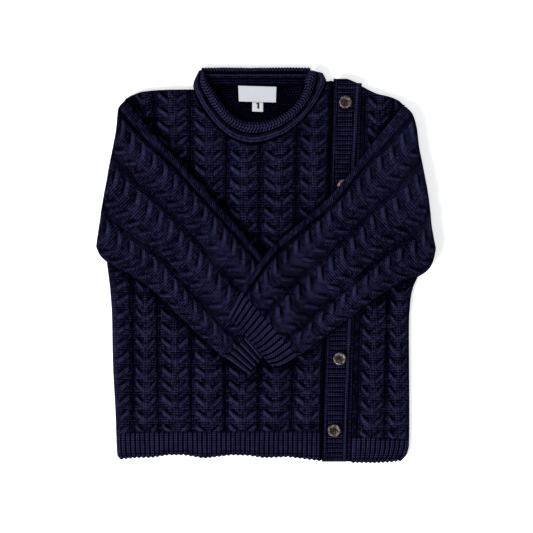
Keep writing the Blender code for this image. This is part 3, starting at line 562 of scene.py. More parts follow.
@dataclass(frozen=True)
class Knit:
    """Dyed wool, knitted: stitches from the piece's own attributes, stray fibres and lint, with painted
    shade in the hollows and painted highlights on the crests.
    """

    name: str
    # Colours run from painted shade in the darkest hollows, through the wool's own body colour, to painted
    # highlights on the crests.
    painted_hollow_shade: tuple[float, float, float] = (0.0005, 0.0003, 0.0025)
    body: tuple[float, float, float] = (0.0056, 0.0042, 0.0165)
    crest: tuple[float, float, float] = (0.0400, 0.0300, 0.0900)
    blue_crest_highlight: tuple[float, float, float] = (0.0250, 0.0400, 0.0880)
    # A paler blue for random patches and for painted sheen on lit crests and edges.
    pale_patch_and_sheen_colour: tuple[float, float, float] = (0.0200, 0.0265, 0.0690)
    lint: tuple[float, float, float] = (0.30, 0.32, 0.38)
    stitch_depth: float = 0.0007
    painted_light_gain: float = 1.25  # how much each of these lightens the wool
    stitch_gain: float = 2.00
    fibre_gain: float = 0.45
    cloud_gain: float = 0.30
    shade_gain: float = 0.65
    darkness: float = 1.94

    def stitch_height(self, nodes: Nodes) -> Value:
        """Shapes one stitch over and over: two slanting legs, or a purl bump.

        Args:
            nodes: The material's nodes.

        Returns:
            Heights from 0 to 1.
        """
        wale, course, purl = nodes.attribute("stitch")
        leg = (wale.fraction() - 0.5).size() * 2.0
        climb = (course + leg * 0.55).fraction()
        leg_round = (leg * math.pi).sine().size() ** 0.6
        loop_round = (climb * math.pi).sine().size()
        knit = leg_round * (loop_round * 0.55 + 0.45)
        side = (wale + course.floor() * 0.5).fraction()
        bump = (side * math.pi).sine() * (course.fraction() * math.pi).sine()
        return knit * (1.0 - purl) + (bump * 0.85 + 0.1) * purl

    def shade(self, nodes: Nodes) -> Value:
        """Gives each stitch a shade of its own.

        Args:
            nodes: The material's nodes.

        Returns:
            Shades from 0 to 1.
        """
        wale, course, _ = nodes.attribute("stitch")
        cell = nodes.add("ShaderNodeCombineXYZ", None, X=wale.floor(), Y=course.floor())
        dice = nodes.add("ShaderNodeTexWhiteNoise", {"noise_dimensions": "2D"}, Vector=cell.outputs[0])
        return nodes.number(dice, "Value")

    def make(self) -> bpy.types.Material:
        """Builds the material."""
        nodes = Nodes.of(self.name)
        height = self.stitch_height(nodes)
        painted_light, pale_patch_and_sheen, calm = nodes.attribute("tone")
        fibres = nodes.noise(1500.0, 3.0, 0.65)
        clouds = nodes.noise(38.0, 3.0, 0.6)
        shade = (self.shade(nodes) - 0.5) * (1.0 - calm) * self.shade_gain
        # The first term is painted light and shade carried by the tone attribute; the stitch term paints
        # shade into each stitch's hollows.
        light = painted_light * self.painted_light_gain + height * self.stitch_gain + fibres * self.fibre_gain
        light = light + clouds * self.cloud_gain + shade - self.darkness
        dark_to_body = nodes.mix((light * 2.0).held(), self.painted_hollow_shade, self.body)
        hue = nodes.noise(190.0, 3.0, 0.6) * 1.9 - 0.62
        crest = nodes.mix(hue.held(), self.crest, self.blue_crest_highlight)
        colour = nodes.mix((light * 1.25 - 0.44).held(), dark_to_body, crest)
        # Paler patches, with painted sheen on lit crests and edges.
        colour = nodes.mix((pale_patch_and_sheen * (clouds * 1.6 - 0.3)).held(), colour, self.pale_patch_and_sheen_colour)
        cells = nodes.add("ShaderNodeTexVoronoi", None, Vector=nodes.place(), Scale=52.0)
        tint = nodes.add("ShaderNodeSeparateColor", None, Color=cells.outputs["Color"])
        near = 1.0 - (nodes.number(cells, "Distance") > 0.017)
        speck = near * (nodes.number(tint, 0) > 0.80)
        colour = nodes.mix(speck * 0.7, colour, self.lint)
        relief = height * 0.8 + fibres * 0.45
        return nodes.finish(
            Base_Color=colour,
            Roughness=0.9,
            Specular_IOR_Level=0.0,
            Normal=nodes.bump(relief, self.stitch_depth),
        )


# ---- Cloth grids -------------------------------------------------------------------------------
@dataclass
class Surface:
    """What a grid's points are given: places in millimetres, stitches and tones."""

    place: Array
    stitch: Array
    tone: Array

    @classmethod
    def of(
        cls,
        place: tuple[Array, Array, Array],
        stitch: tuple[Array, Array, Array | float],
        tone: tuple[Array | float, ...],
    ) -> "Surface":
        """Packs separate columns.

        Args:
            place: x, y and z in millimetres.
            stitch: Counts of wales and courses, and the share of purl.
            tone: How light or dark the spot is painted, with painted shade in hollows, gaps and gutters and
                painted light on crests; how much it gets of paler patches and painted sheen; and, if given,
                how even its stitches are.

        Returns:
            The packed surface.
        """
        count = place[0].shape

        def pack(*columns: Array | float) -> Array:
            """Makes one row of numbers for each point."""
            return np.stack([np.broadcast_to(c, count) for c in columns], axis=-1)

        return cls(pack(*place), pack(*stitch), pack(*tone, *[0.0] * (3 - len(tone))))


class Closing(Enum):
    """How a grid becomes a closed piece."""

    OPEN = "as it is"
    FLAT_BELOW = "side walls down to a flat inside"
    RING = "its first and last columns meet"


@dataclass
class ClothGrid:
    """A fine grid of cloth whose points are worked out from their column and row."""

    name: str
    columns: Array
    rows: Array
    shape: Callable[[Array, Array], Surface]
    closing: Closing = Closing.OPEN
    floor: float = 0.0

    def build(self) -> bpy.types.Object:
        """Makes the grid, places its points and closes it.

        Returns:
            The piece, not yet dressed.
        """
        bm = bmesh.new()
        across, along = len(self.columns) - 1, len(self.rows) - 1
        bmesh.ops.create_grid(bm, x_segments=across, y_segments=along, size=0.5)
        mesh = freeze(bm, self.name)
        co = points_of(mesh)
        column = self.columns[np.rint((co[:, 0] + 0.5) * across).astype(int)]
        row = self.rows[np.rint((co[:, 1] + 0.5) * along).astype(int)]
        surface = self.shape(column, row)
        mesh.vertices.foreach_set("co", (surface.place * MM).ravel())
        mark(mesh, "stitch", surface.stitch)
        mark(mesh, "tone", surface.tone)
        self.close(mesh)
        mesh.shade_smooth()
        return put(f"{self.name}_cloth", mesh)

    def close(self, mesh: bpy.types.Mesh) -> None:
        """Closes the mesh as asked, with its faces outwards.

        Args:
            mesh: The placed grid.
        """
        bm = bmesh.new()
        bm.from_mesh(mesh)
        if self.closing is Closing.FLAT_BELOW:
            edges = [edge for edge in bm.edges if edge.is_boundary]
            made = bmesh.ops.extrude_edge_only(bm, edges=edges)["geom"]
            for vert in (e for e in made if isinstance(e, bmesh.types.BMVert)):
                vert.co.z = self.floor * MM
            rim = [e for e in made if isinstance(e, bmesh.types.BMEdge) and e.is_boundary]
            bmesh.ops.contextual_create(bm, geom=rim)
        elif self.closing is Closing.RING:
            bmesh.ops.remove_doubles(bm, verts=bm.verts, dist=0.002 * MM)
        bmesh.ops.recalc_face_normals(bm, faces=bm.faces)
        bm.to_mesh(mesh)
        bm.free()


def dress(piece: bpy.types.Object, material: bpy.types.Material, slot: str, *nodes: str) -> bpy.types.Object:
    """Gives a piece its material, its body and the nodes that it stands for.

    Args:
        piece: The piece.
        material: What it is made of.
        slot: Not used.
        nodes: CAD nodes that it replaces.

    Returns:
        The same piece.
    """
    piece.data.materials.clear()
    piece.data.materials.append(material)
    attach(piece, "root")
    if nodes:
        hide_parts(*nodes)
    LOG.info("%s: %d faces", piece.name, len(piece.data.polygons))
    return piece


@dataclass(frozen=True)
class Cable:
    """One horseshoe cable: arms that lean out and up on each side of a plain middle."""

    levels: Table = field(
        default_factory=lambda: table(
            "out lean crest crease",
            (0.00, 1.00, 1.50, 1.45), (0.18, 0.97, 1.70, 1.15), (0.30, 0.83, 2.10, 0.85),
            (0.50, 0.50, 2.25, 0.50), (0.68, 0.18, 2.00, 0.30), (0.80, 0.00, 1.15, 0.15),
            (0.88, -0.08, 0.10, -0.20), (1.00, -0.10, -0.45, -0.45),
        )
    )

    lower: float = 2.4  # how far the arms sit below the solid's

    def relief(self, across: Array, half: Array, along: Array) -> tuple[Array, Array, Array, Array]:
        """Works out one column.

        Args:
            across: 0 at its left gutter, 1 at its right one.
            half: Half its width in millimetres.
            along: Millimetres up the column.

        Returns:
            Height, wale, course and tone.
        """
        out = np.abs(2.0 * across - 1.0)
        level = {name: np.interp(out, self.levels["out"], v) for name, v in self.levels.items()}
        phase = (along + self.lower - LEAN * (1.0 - level["lean"])) / REPEAT
        phase = phase - np.floor(phase + 0.5)
        arm = ease((phase + 0.36) / 0.32) * (1.0 - ease((phase - 0.07) / 0.19))
        height = level["crease"] + (level["crest"] - level["crease"]) * arm
        left_side = 1.0 - ease((across - 0.35) / 0.3)
        gap = bell(phase - 0.29, 0.052) * ease((out - 0.18) / 0.14) * (1 - ease((out - 0.58) / 0.12))
        gap = gap * (0.5 + 0.5 * left_side)
        height = height - 0.7 * gap
        side = half * (2.0 * across - 1.0)
        in_arm = (arm > 0.35) & (out > 0.24) & (out < 0.84)
        slant = (np.abs(side) - along) * 0.707
        wale = np.where(in_arm, slant / WALE, side / WALE + 0.5)
        course = np.where(in_arm, (np.abs(side) + along) * 0.707 / COURSE, along / COURSE)
        fullness = (0.45 + 0.55 * ease((out - 0.14) / 0.2)) * (1.0 - ease((out - 0.70) / 0.2))
        # Painted light and shade: the arms are lit brighter, more on the left side where the lamp is, with
        # painted shadow in the crease gap and darker towards the gutters.
        lit = 0.26 + 0.22 * left_side
        tone = 0.34 + 0.08 * (1 - out) + lit * arm * fullness - 0.80 * gap - 0.17 * ease((out - 0.72) / 0.2)
        return height, wale, course, tone


def rib(phase: Array) -> Array:
    """Gives a 1x1 rib's height: 1 along each knit rib, 0 in the purl between two.

    Args:
        phase: Counted in ribs, whole numbers in the purl.

    Returns:
        The height.
    """
    swing = 0.5 - 0.5 * np.cos(2.0 * math.pi * phase)
    return swing**0.75


# ---- Body panels -------------------------------------------------------------------------------
Guide = Callable[[Array], Array]


def straight(hem: float, yoke: float) -> Guide:
    """Makes a gutter's line from its places near the hem and at the yoke."""
    return lambda y: hem + (yoke - hem) * (y - HEM_GUIDE_Y) / (YOKE_GUIDE_Y - HEM_GUIDE_Y)


def even_steps(lengths: list[float], step: float) -> Array:
    """Divides each strip into even steps.

    Args:
        lengths: The strips' widths in millimetres.
        step: About how long a step is.

    Returns:
        Places counted in strips.
    """
    places = [
        number + np.linspace(0.0, 1.0, max(2, round(length / step)), endpoint=False)
        for number, length in enumerate(lengths)
    ]
    return np.concatenate([*places, [float(len(lengths))]])


@dataclass
class FrontPanel:
    """A front panel: leaning cables up its height over a ribbed hem."""

    name: str
    guides: list[Guide]
    kinds: list[str]
    top: Table
    rounded_sides: tuple[bool, bool]
    flat_area: float
    step: float = 1.05
    cable: Cable = field(default_factory=Cable)
    edge_radius: float = 5.0
    cast_on: float = 2.6  # length of the firm edge below the hem rib
    cut_length: float = 0.345  # of the flat panel, in metres
    scallop: float = 1.3  # how far each hem rib reaches past the purl beside it
    # Painted shadow beside the sleeves: how much darker, and how far it reaches.
    painted_shadow: float = 0.60  # how much darker it is right beside a sleeve
    painted_shadow_reach: float = 5.5

    def x_at(self, strips: Array, y: Array) -> Array:
        """Finds the place across at a count of strips.

        Args:
            strips: Whole numbers on the gutters.
            y: Height up the panel.

        Returns:
            The places.
        """
        lines = np.stack([guide(y) for guide in self.guides])
        left = np.clip(np.floor(strips).astype(int), 0, len(self.guides) - 2)
        share = strips - left
        index = np.arange(len(strips))
        return lines[left, index] * (1.0 - share) + lines[left + 1, index] * share

    def cables(self, strips: Array, x: Array, y: Array) -> tuple[Array, Array, Array, Array]:
        """Works out the cabled part.

        Args:
            strips: Places across, counted in strips.
            x: Places across in millimetres.
            y: Places up the panel.

        Returns:
            Height, wale, course and tone.
        """
        lines = np.stack([guide(y) for guide in self.guides])
        left = np.clip(np.floor(strips).astype(int), 0, len(self.guides) - 2)
        share = strips - left
        index = np.arange(len(strips))
        half = 0.5 * (lines[left + 1, index] - lines[left, index])
        kind = np.array(self.kinds)[left]
        across = np.where(kind == "half cable", 0.5 + 0.5 * share, share)
        half = np.where(kind == "half cable", 2.0 * half, half)
        along = y - self.datum + 0.6 * unevenness(x, y, 19.0)
        height, wale, course, tone = self.cable.relief(across, half, along)
        plain = kind == "plain"
        height = np.where(plain, -0.3 + 0.5 * np.sin(math.pi * share), height)
        tone = np.where(plain, 0.12, tone)
        return height, wale + 7.0 * left, course, tone

    def ribs(self, strips: Array, x: Array, y: Array, end: Array) -> tuple[Array, Array, Array, Array]:
        """Works out the hem rib.

        Args:
            strips: Places across, counted in strips.
            x: Places across in millimetres.
            y: Places up the panel.
            end: Millimetres up from the hem's edge.

        Returns:
            Height, wale, course and tone.
        """
        left = self.guides[0](np.full_like(y, HEM_GUIDE_Y))
        right = self.guides[-1](np.full_like(y, HEM_GUIDE_Y))
        count = round((right[0] - left[0]) / RIB_PITCH)
        edges = np.stack([self.guides[0](y), self.guides[-1](y)])
        phase = (x - edges[0]) / (edges[1] - edges[0]) * count
        phase = phase + 0.05 * unevenness(x, y, 30.0)
        ridge = rib(phase)
        edge = ease(1.0 - end / self.cast_on)
        height = -0.35 + 1.25 * ridge * (1.0 - 0.6 * edge) + 0.25 * edge
        # Painted shade in the purl between the ribs, which are lighter, and a darker line just inside the
        # edge.
        tone = -0.34 + 1.28 * ridge - 0.25 * bell(end - 3.2, 0.9)
        return height, phase, y / COURSE, tone

    def shape(self, strips: Array, up: Array) -> Surface:
        """Places the panel's points.

        Args:
            strips: Places across, counted in strips.
            up: 0 at the hem's edge, 1 at the top outline.

        Returns:
            The panel's surface.
        """
        y = -170.0 + 320.0 * up
        for _ in range(6):
            x = self.x_at(strips, y)
            bottom = read(HEM, "y", x, key="x")
            top = read(self.top, "y", x, key="x")
            y = bottom + (top - bottom) * up
        end = y - bottom
        height, wale, course, tone = self.cables(strips, x, y)
        rib_height, rib_wale, rib_course, rib_tone = self.ribs(strips, x, y, end)
        rib_top = read(HEM_RIB_TOP, "y", x, key="x")
        cabled = ease((y - rib_top + 1.2) / 2.4)
        height = rib_height + (height - rib_height) * cabled
        tone = rib_tone + (tone - rib_tone) * cabled
        in_rib = y < rib_top
        wale = np.where(in_rib, rib_wale, wale)
        course = np.where(in_rib, rib_course, course)
        seam_line = bell(y - rib_top - 0.6, 1.1)
        tone = tone - 0.16 * seam_line
        height = height - 0.25 * seam_line + 0.22 * unevenness(x, y, 55.0)
        across_left = x - self.guides[0](y)
        across_right = self.guides[-1](y) - x
        # Along the side that runs under the band the panel sinks, with painted shadow.
        if not self.rounded_sides[1]:
            tone = tone - 0.9 * ease(1.0 - across_right / 3.2)
            height = height - 0.8 * ease(1.0 - across_right / 3.2)
        soft = np.ones_like(x)
        if self.rounded_sides[0]:
            soft = np.minimum(soft, rounding(across_left + 0.25, self.edge_radius))
        if self.rounded_sides[1]:
            soft = np.minimum(soft, rounding(across_right + 0.25, self.edge_radius))
        soft = np.minimum(soft, rounding(end + 0.3, 3.0))
        soft = np.minimum(soft, 0.45 + 0.55 * rounding(top - y + 0.3, 4.0))
        z = FRONT_INSIDE + 0.25 + (FRONT_TOP - FRONT_INSIDE + height - 0.25) * soft
        y = y - self.scallop * rib(rib_wale) * ease(1.0 - end / 6.0)
        purl = np.where(in_rib, 0.0, ease((0.14 - tone) / 0.12))
        # Painted sheen: paler near the side edges and on the lit crests.
        pale_patch_and_sheen = 0.15 * ease(1.0 - np.minimum(across_left, across_right) / 10.0)
        pale_patch_and_sheen = pale_patch_and_sheen + np.where(in_rib, 0.0, 0.42 * ease((tone - 0.52) / 0.2))
        calm = np.where(in_rib, 0.7, 0.0)
        # Painted shadow beside the sleeves.
        tone = tone - self.painted_shadow * sleeve_shade(x, y, self.painted_shadow_reach)
        return Surface.of((x, y, z), (wale, course, purl), (tone, pale_patch_and_sheen, calm))

    def build(self, material: bpy.types.Material) -> bpy.types.Object:
        """Builds and dresses the panel.

        Args:
            material: Its knit.

        Returns:
            The piece.
        """
        at_hem = np.array([guide(np.array([HEM_GUIDE_Y]))[0] for guide in self.guides])
        tops = read(HEM_RIB_TOP, "y", at_hem, key="x")
        self.datum = float(tops.min()) + 0.4 * REPEAT / 2.0
        columns = even_steps(list(np.diff(at_hem)), self.step)
        rows = np.linspace(0.0, 1.0, round(330.0 / self.step))
        grid = ClothGrid(self.name, columns, rows, self.shape, Closing.FLAT_BELOW, FRONT_INSIDE)
        piece = dress(grid.build(), material, "navy_knit", self.name)
        span = float(at_hem[-1] - at_hem[0])
        flat = (span * MM, self.cut_length)
        area = min(self.flat_area, 0.999 * flat[0] * flat[1])
        return piece


def neck_seam() -> Array:
    """Gives the fronts' neck edge, a little outside the neckband's seam."""
    stations = np.stack([NECK["seam_x"], NECK["seam_y"]], axis=1)
    curve = smooth_curve(stations[2:14], np.linspace(0.0, 1.0, 160))
    tangent = np.gradient(curve, axis=0)
    tangent /= np.linalg.norm(tangent, axis=1)[:, None]
    return curve + np.stack([tangent[:, 1], -tangent[:, 0]], axis=1) * 0.8


@dataclass
class Fronts:
    """The wide front and the narrow front."""

    def wide(self, material: bpy.types.Material) -> bpy.types.Object:
        """Builds the wearer's right front, which crosses almost the whole chest.

        Args:
            material: Its knit.

        Returns:
            The piece.
        """
        side = smoothed(SIDE_RIGHT, "y")
        guides: list[Guide] = [lambda y: read(side, "x", y)]
        guides += [straight(*row) for row in zip(WIDE_GUTTERS["hem"], WIDE_GUTTERS["yoke"])]
        neck = neck_seam()
        shoulder = smoothed(SHOULDER_RIGHT, "x")
        shoulder_line = np.stack([shoulder["x"], shoulder["y"]], axis=1)[::8]
        tongue = np.array([(neck[-1, 0] + 1.0, 169.8), (62.0, 170.4)])
        outline = np.vstack([shoulder_line, neck[neck[:, 1] < shoulder_line[-1, 1]], tongue])
        outline = outline[np.concatenate([[True], np.diff(outline[:, 0]) > 0.05])]
        top = {"x": outline[:, 0], "y": outline[:, 1]}
        kinds = ["half cable"] + ["cable"] * 6
        panel = FrontPanel("front_wide", guides, kinds, top, (True, False), 0.0585)
        return panel.build(material)

    def narrow(self, material: bpy.types.Material) -> bpy.types.Object:
        """Builds the wearer's left front, two cables wide.

        Args:
            material: Its knit.

        Returns:
            The piece.
        """
        side = smoothed(SIDE_LEFT, "y")
        guides = [straight(*row) for row in zip(NARROW_GUTTERS["hem"], NARROW_GUTTERS["yoke"])]
        guides.append(lambda y: read(side, "x", y))
        top = smoothed(SHOULDER_LEFT, "x")
        panel = FrontPanel("front_narrow", guides, ["plain", "cable", "cable"], top, (False, True), 0.0165)
        return panel.build(material)


@dataclass
class Back:
    """The back panel, flat on the surface, whose inside shows in the neck."""

    name: str = "back"
    step: float = 2.2
    neck_top: float = 166.3
    lip: float = 1.6  # seam allowance that runs under the neckband
    neck_left: float = -58.0
    neck_right: float = 48.0
    column_pitch: float = 31.0
    edge_radius: float = 2.0

    def shape(self, across: Array, up: Array) -> Surface:
        """Places the panel's points.

        Args:
            across: 0 at the viewer's left side, 1 at the right one.
            up: 0 at the hem, 1 at the top.

        Returns:
            The panel's surface.
        """
        y = -170.0 + 330.0 * up
        for _ in range(6):
            left, right = read(SIDE_RIGHT, "x", y) + 0.3, read(SIDE_LEFT, "x", y) - 0.3
            x = left + (right - left) * across
            bottom = read(HEM, "y", x, key="x")
            shoulders = np.where(
                x < 0.0,
                read(SHOULDER_RIGHT, "y", x, key="x"),
                read(SHOULDER_LEFT, "y", x, key="x"),
            )
            in_neck = (x > self.neck_left) & (x < self.neck_right)
            top = np.where(in_neck, self.neck_top + self.lip, shoulders)
            y = bottom + (top - bottom) * up
        edge = np.minimum(x - left, right - x)
        soft = rounding(np.minimum(edge, y - bottom) + 0.3, self.edge_radius)
        wave = 0.05 * unevenness(x, y, 20.0)
        z = 0.3 + (BACK_TOP - 0.3 + wave - 0.05) * soft
        in_lip = in_neck * ease((y - self.neck_top) / 0.2)
        z = z + (0.2 - z) * in_lip
        columns = 0.5 + 0.5 * np.cos(2.0 * math.pi * x / self.column_pitch)
        tone = 0.10 + 0.16 * columns + 0.08 * unevenness(x, y, 25.0)
        return Surface.of((x, y, z), (x / WALE, y / COURSE, 1.0), (tone, 0.0))

    def build(self, material: bpy.types.Material) -> bpy.types.Object:
        """Builds and dresses the panel.

        Args:
            material: Its knit.

        Returns:
            The piece.
        """
        columns = np.linspace(0.0, 1.0, round(280.0 / self.step))
        rows = np.linspace(0.0, 1.0, round(340.0 / self.step))
        grid = ClothGrid(self.name, columns, rows, self.shape, Closing.FLAT_BELOW, 0.0)
        piece = dress(grid.build(), material, "navy_knit", "back")
        return piece


# ---- Sleeves -----------------------------------------------------------------------------------
def sleeve_edges(edges: Table, shares: Array) -> list[Array]:
    """Gives points on a sleeve's upper and lower edges.

    Args:
        edges: Its two long edges.
        shares: Shares of their length from the side fold.

    Returns:
        The upper edge's points, then the lower edge's.
    """
    return [
        smooth_curve(np.stack([edges[f"{side}_x"], edges[f"{side}_y"]], axis=1), shares)
        for side in ("upper", "lower")
    ]


def sleeve_outline(edges: Table) -> Array:
    """Gives a sleeve's outline in plan.

    Args:
        edges: Its two long edges.

    Returns:
        The outline's corners in order.
    """
    upper, lower = sleeve_edges(edges, np.linspace(0.0, 1.0, 25))
    return np.vstack([upper, lower[::-1]])


def sleeve_shade(x: Array, y: Array, reach: float) -> Array:
    """Tells how much painted shadow the cloth gets close beside the sleeves that lie on it.

    Args:
        x: Places in plan.
        y: Places in plan.
        reach: How far the dusk goes, in millimetres.

    Returns:
        1 at a sleeve's edge, fading to 0.
    """
    sleeves = [sleeve_outline(edges) for edges in (SLEEVE_RIGHT_EDGES, SLEEVE_LEFT_EDGES)]
    away = [outside_distance(x, y, sleeve) for sleeve in sleeves]
    return np.exp(-np.clip(np.min(away, axis=0), 0.0, None) / reach)


def rest_on_front(x: Array, y: Array) -> Array:
    """Gives the lower sleeve's underside, level on the front."""
    return np.full(x.shape, SLEEVE_REST)


def rest_on_everything(x: Array, y: Array) -> Array:
    """Gives the upper sleeve's underside, over the band, two buttons and the lower sleeve.

    Args:
        x: Places in plan.
        y: Places in plan.

    Returns:
        Heights in millimetres.
    """
    lower_top = SLEEVE_REST + 2 * SLEEVE_WALL + SLEEVE_HOLLOW["height"].max() + CABLE_RISE
    band = np.array(
        list(zip(HOLE_BAND["left"], HOLE_BAND["y"])) + list(zip(HOLE_BAND["right"], HOLE_BAND["y"]))[::-1]
    )
    lifts = [
        (lower_top, outside_distance(x, y, sleeve_outline(SLEEVE_RIGHT_EDGES)), 24.0),
        (HOLE_BAND_TOP + 1.0, outside_distance(x, y, band), 12.0),
    ]
    for button in (1, 2):
        distance = np.hypot(x - BUTTONS["x"][button], y - BUTTONS["y"][button])
        lifts.append((BUTTON_TOP + 0.3, distance - BUTTON_RADIUS - 7.2, 15.0))
    rises = [(top + 0.4 - SLEEVE_REST) * ease(1.0 - away / reach) for top, away, reach in lifts]
    return SLEEVE_REST + np.max(rises, axis=0)


@dataclass
class Sleeve:
    """A knitted tube pressed flat, turned round the side fold, with a ribbed cuff."""

    name: str
    edges: Table
    bow: Table
    rest_at: Callable[[Array, Array], Array]
    flat: tuple[float, float]
    rests_on: list[str]
    step: float = 1.1
    cuff_length: float = 26.0
    cuff_ribs: int = 14
    edge_radius: float = 4.5
    fold_start: float = 9.5  # from the armhole to the side fold
    bow_reach: float = 0.3  # share of the length over which the bow fades
    shell: float = 1.5  # wall of the open cuff
    corner_tuck: float = 0.1  # share of the turned part that is left at its two corners
    corner_reach: float = 14.0
    cable: Cable = field(default_factory=Cable)

    def __post_init__(self) -> None:
        """Smooths the two long edges."""
        self.shares = np.linspace(0.0, 1.0, 300)
        self.upper, self.lower = sleeve_edges(self.edges, self.shares)
        self.lengths = [np.linalg.norm(np.diff(s, axis=0), axis=1).sum() for s in (self.upper, self.lower)]
        fold = self.lower[0] - self.upper[0]
        across = np.array([fold[1], -fold[0]]) / np.linalg.norm(fold)
        self.outward = across * np.sign(across @ (self.upper[0] - self.upper[-1]))
        self.smooth_bow = smoothed(self.bow, "share")

    def point(self, along: Array, share: Array) -> tuple[Array, Array]:
        """Finds the place in plan.

        Args:
            along: Share of the length from the side fold.
            share: Share of the width from the upper edge.

        Returns:
            x and y in millimetres.
        """
        places = []
        bow = read(self.smooth_bow, "out", share, key="share") * ease(1.0 - along / self.bow_reach)
        for axis in range(2):
            upper = np.interp(along, self.shares, self.upper[:, axis])
            lower = np.interp(along, self.shares, self.lower[:, axis])
            places.append(upper + (lower - upper) * share + self.outward[axis] * bow)
        return places[0], places[1]

    def pattern(self, share: Array, along: Array, width: Array, length: Array) -> tuple[Array, ...]:
        """Works out the knitting on the sleeve's face.

        Args:
            share: Share of the width from the upper edge.
            along: Share of the length from the side fold.
            width: Width there in millimetres.
            length: Length along this line in millimetres.

        Returns:
            Height, wale, course, purl and tone.
        """
        height, tone = np.full_like(share, 0.25), np.full_like(share, 0.42)
        wale, course = share * width / WALE, along * length / COURSE
        gutters = [
            SLEEVE_GUTTERS["fold"][k] * (1 - along) + SLEEVE_GUTTERS["cuff"][k] * along for k in range(5)
        ]
        down = (1.0 - along) * length + 3.0
        for strip in range(1, 4):
            across = (share - gutters[strip]) / (gutters[strip + 1] - gutters[strip])
            here = (across >= 0.0) & (across <= 1.0)
            across = np.clip(across, 0.0, 1.0)
            half = 0.5 * (gutters[strip + 1] - gutters[strip]) * width
            if strip == 3:
                across = across * 0.93
            got = self.cable.relief(across, half, down)
            height, wale, course, tone = (
                np.where(here, new, old) for new, old in zip(got, (height, wale, course, tone))
            )
        groove = bell((share - gutters[1]) * width, 1.6)
        # Painted shade in the groove beside the first gutter.
        height, tone = height - 0.45 * groove, tone - 0.28 * groove
        purl = ease((0.14 - tone) / 0.12)
        to_cuff = (1.0 - along) * length - self.cuff_length
        phase = share * self.cuff_ribs + 0.04 * unevenness(share * 90.0, along * 90.0, 30.0)
        ridge = rib(phase)
        to_end = to_cuff + self.cuff_length
        edge = bell(to_end, 1.8)
        cuff_height = -0.35 + 1.3 * ridge + 0.1 * edge
        # Painted shade in the purl between the cuff's ribs, and a darker line near its end.
        cuff_tone = -0.34 + 1.22 * ridge - 0.2 * bell(to_end - 3.0, 0.9)
        in_body = ease((to_cuff + 1.0) / 2.0)
        height = cuff_height + (height - cuff_height) * in_body
        tone = cuff_tone + (tone - cuff_tone) * in_body - 0.12 * bell(to_cuff, 1.2)
        in_cuff = to_cuff < 0.0
        wale = np.where(in_cuff, phase, wale)
        course = np.where(in_cuff, along * length / COURSE, course)
        return height, wale, course, np.where(in_cuff, 0.0, purl), tone

    def shape(self, ring: Array, run: Array) -> Surface:
        """Places the points of the tube.

        Args:
            ring: 0 to 1 across the face from the upper edge, 1 to 2 back on the underside.
            run: Millimetres from the armhole, past the lip of the cuff, and back inside it.

        Returns:
            The sleeve's surface.
        """
        face = ring <= 1.0
        share = np.where(face, ring, 2.0 - ring)
        length = self.lengths[0] + (self.lengths[1] - self.lengths[0]) * share
        inside = run > 1.0
        reach = np.where(inside, 2.0 - run, run)
        distance = reach * (length + self.fold_start) - self.fold_start
        turned = distance < 0.0
        x, y = self.point(np.clip(distance, 0.0, None) / length, share)
        along = np.clip(distance, 0.0, None) / length
        lower_x, lower_y = self.point(along, np.ones_like(share))
        upper_x, upper_y = self.point(along, np.zeros_like(share))
        width = np.hypot(lower_x - upper_x, lower_y - upper_y)
        height, wale, course, purl, tone = self.pattern(share, along, width, length)
        away = np.minimum(share, 1.0 - share) * width
        soft = rounding(away + 0.05, self.edge_radius)
        rest = self.rest_at(x, y)
        full = 2.0 * SLEEVE_WALL + np.interp(share, SLEEVE_HOLLOW["share"], SLEEVE_HOLLOW["height"])
        middle = rest + 0.5 * full
        slump = 0.30 * unevenness(x, y, 60.0)
        face_z = middle + (0.5 * full + height + slump) * soft
        under_z = middle - 0.5 * full * soft
        wall = self.shell * ease((1.0 - reach) * 60.0 + 0.15)
        z = np.where(face, face_z - wall * inside, under_z + wall * inside)
        fold = ease(distance / 7.0)
        rim = rounding(distance + 0.3, 7.0)
        z = z * np.where(face, rim, 0.5 + 0.5 * rim)
        tuck = self.corner_tuck + (1.0 - self.corner_tuck) * rounding(away + 0.3, self.corner_reach)
        under_turn = np.clip(-distance, 0.0, self.fold_start) * tuck
        start_x, start_y = self.point(np.zeros_like(share), share)
        ahead_x, ahead_y = self.point(np.full_like(share, 0.02), share)
        step_x, step_y = ahead_x - start_x, ahead_y - start_y
        norm = np.hypot(step_x, step_y) + 1e-9
        x = np.where(turned, start_x + step_x / norm * under_turn, x)
        y = np.where(turned, start_y + step_y / norm * under_turn, y)
        low = 0.5 * (1.0 - rounding(under_turn, 6.0)) * 3.0
        z = np.where(turned, np.where(face, low * 0.4 + 0.05, low + 1.2), z)
        # Painted shade where the cloth turns under at the side fold.
        tone = np.where(face, tone, 0.45) - 0.1 * (1.0 - fold)
        # Paler in random patches and towards the upper right, with painted sheen on the lit crests.
        pale_patch_and_sheen = 0.25 * ease(unevenness(x, y, 40.0)) + 0.25 * ease((x - 60.0) / 60.0) * ease((y - 20.0) / 60.0)
        pale_patch_and_sheen = pale_patch_and_sheen + 0.32 * ease((tone - 0.52) / 0.2)
        calm = 0.7 * (1.0 - ease(((1.0 - along) * length - self.cuff_length) / 2.0))
        return Surface.of((x, y, z), (wale, course, purl), (tone, pale_patch_and_sheen, calm))

    def build(self, material: bpy.types.Material) -> bpy.types.Object:
        """Builds and dresses the sleeve.

        Args:
            material: Its knit.

        Returns:
            The piece.
        """
        width = math.hypot(*(self.upper[60] - self.lower[60]))
        face = np.linspace(0.0, 1.0, round(width / self.step))
        under = np.linspace(1.0, 2.0, 30)[1:]
        outer = np.linspace(0.0, 1.0, round((max(self.lengths) + self.fold_start) / self.step))
        inner = np.linspace(1.0, 1.25, 24)[1:]
        columns, rows = np.concatenate([face, under]), np.concatenate([outer, inner])
        grid = ClothGrid(self.name, columns, rows, self.shape, Closing.RING)
        piece = dress(grid.build(), material, "navy_knit", self.name)
        return piece


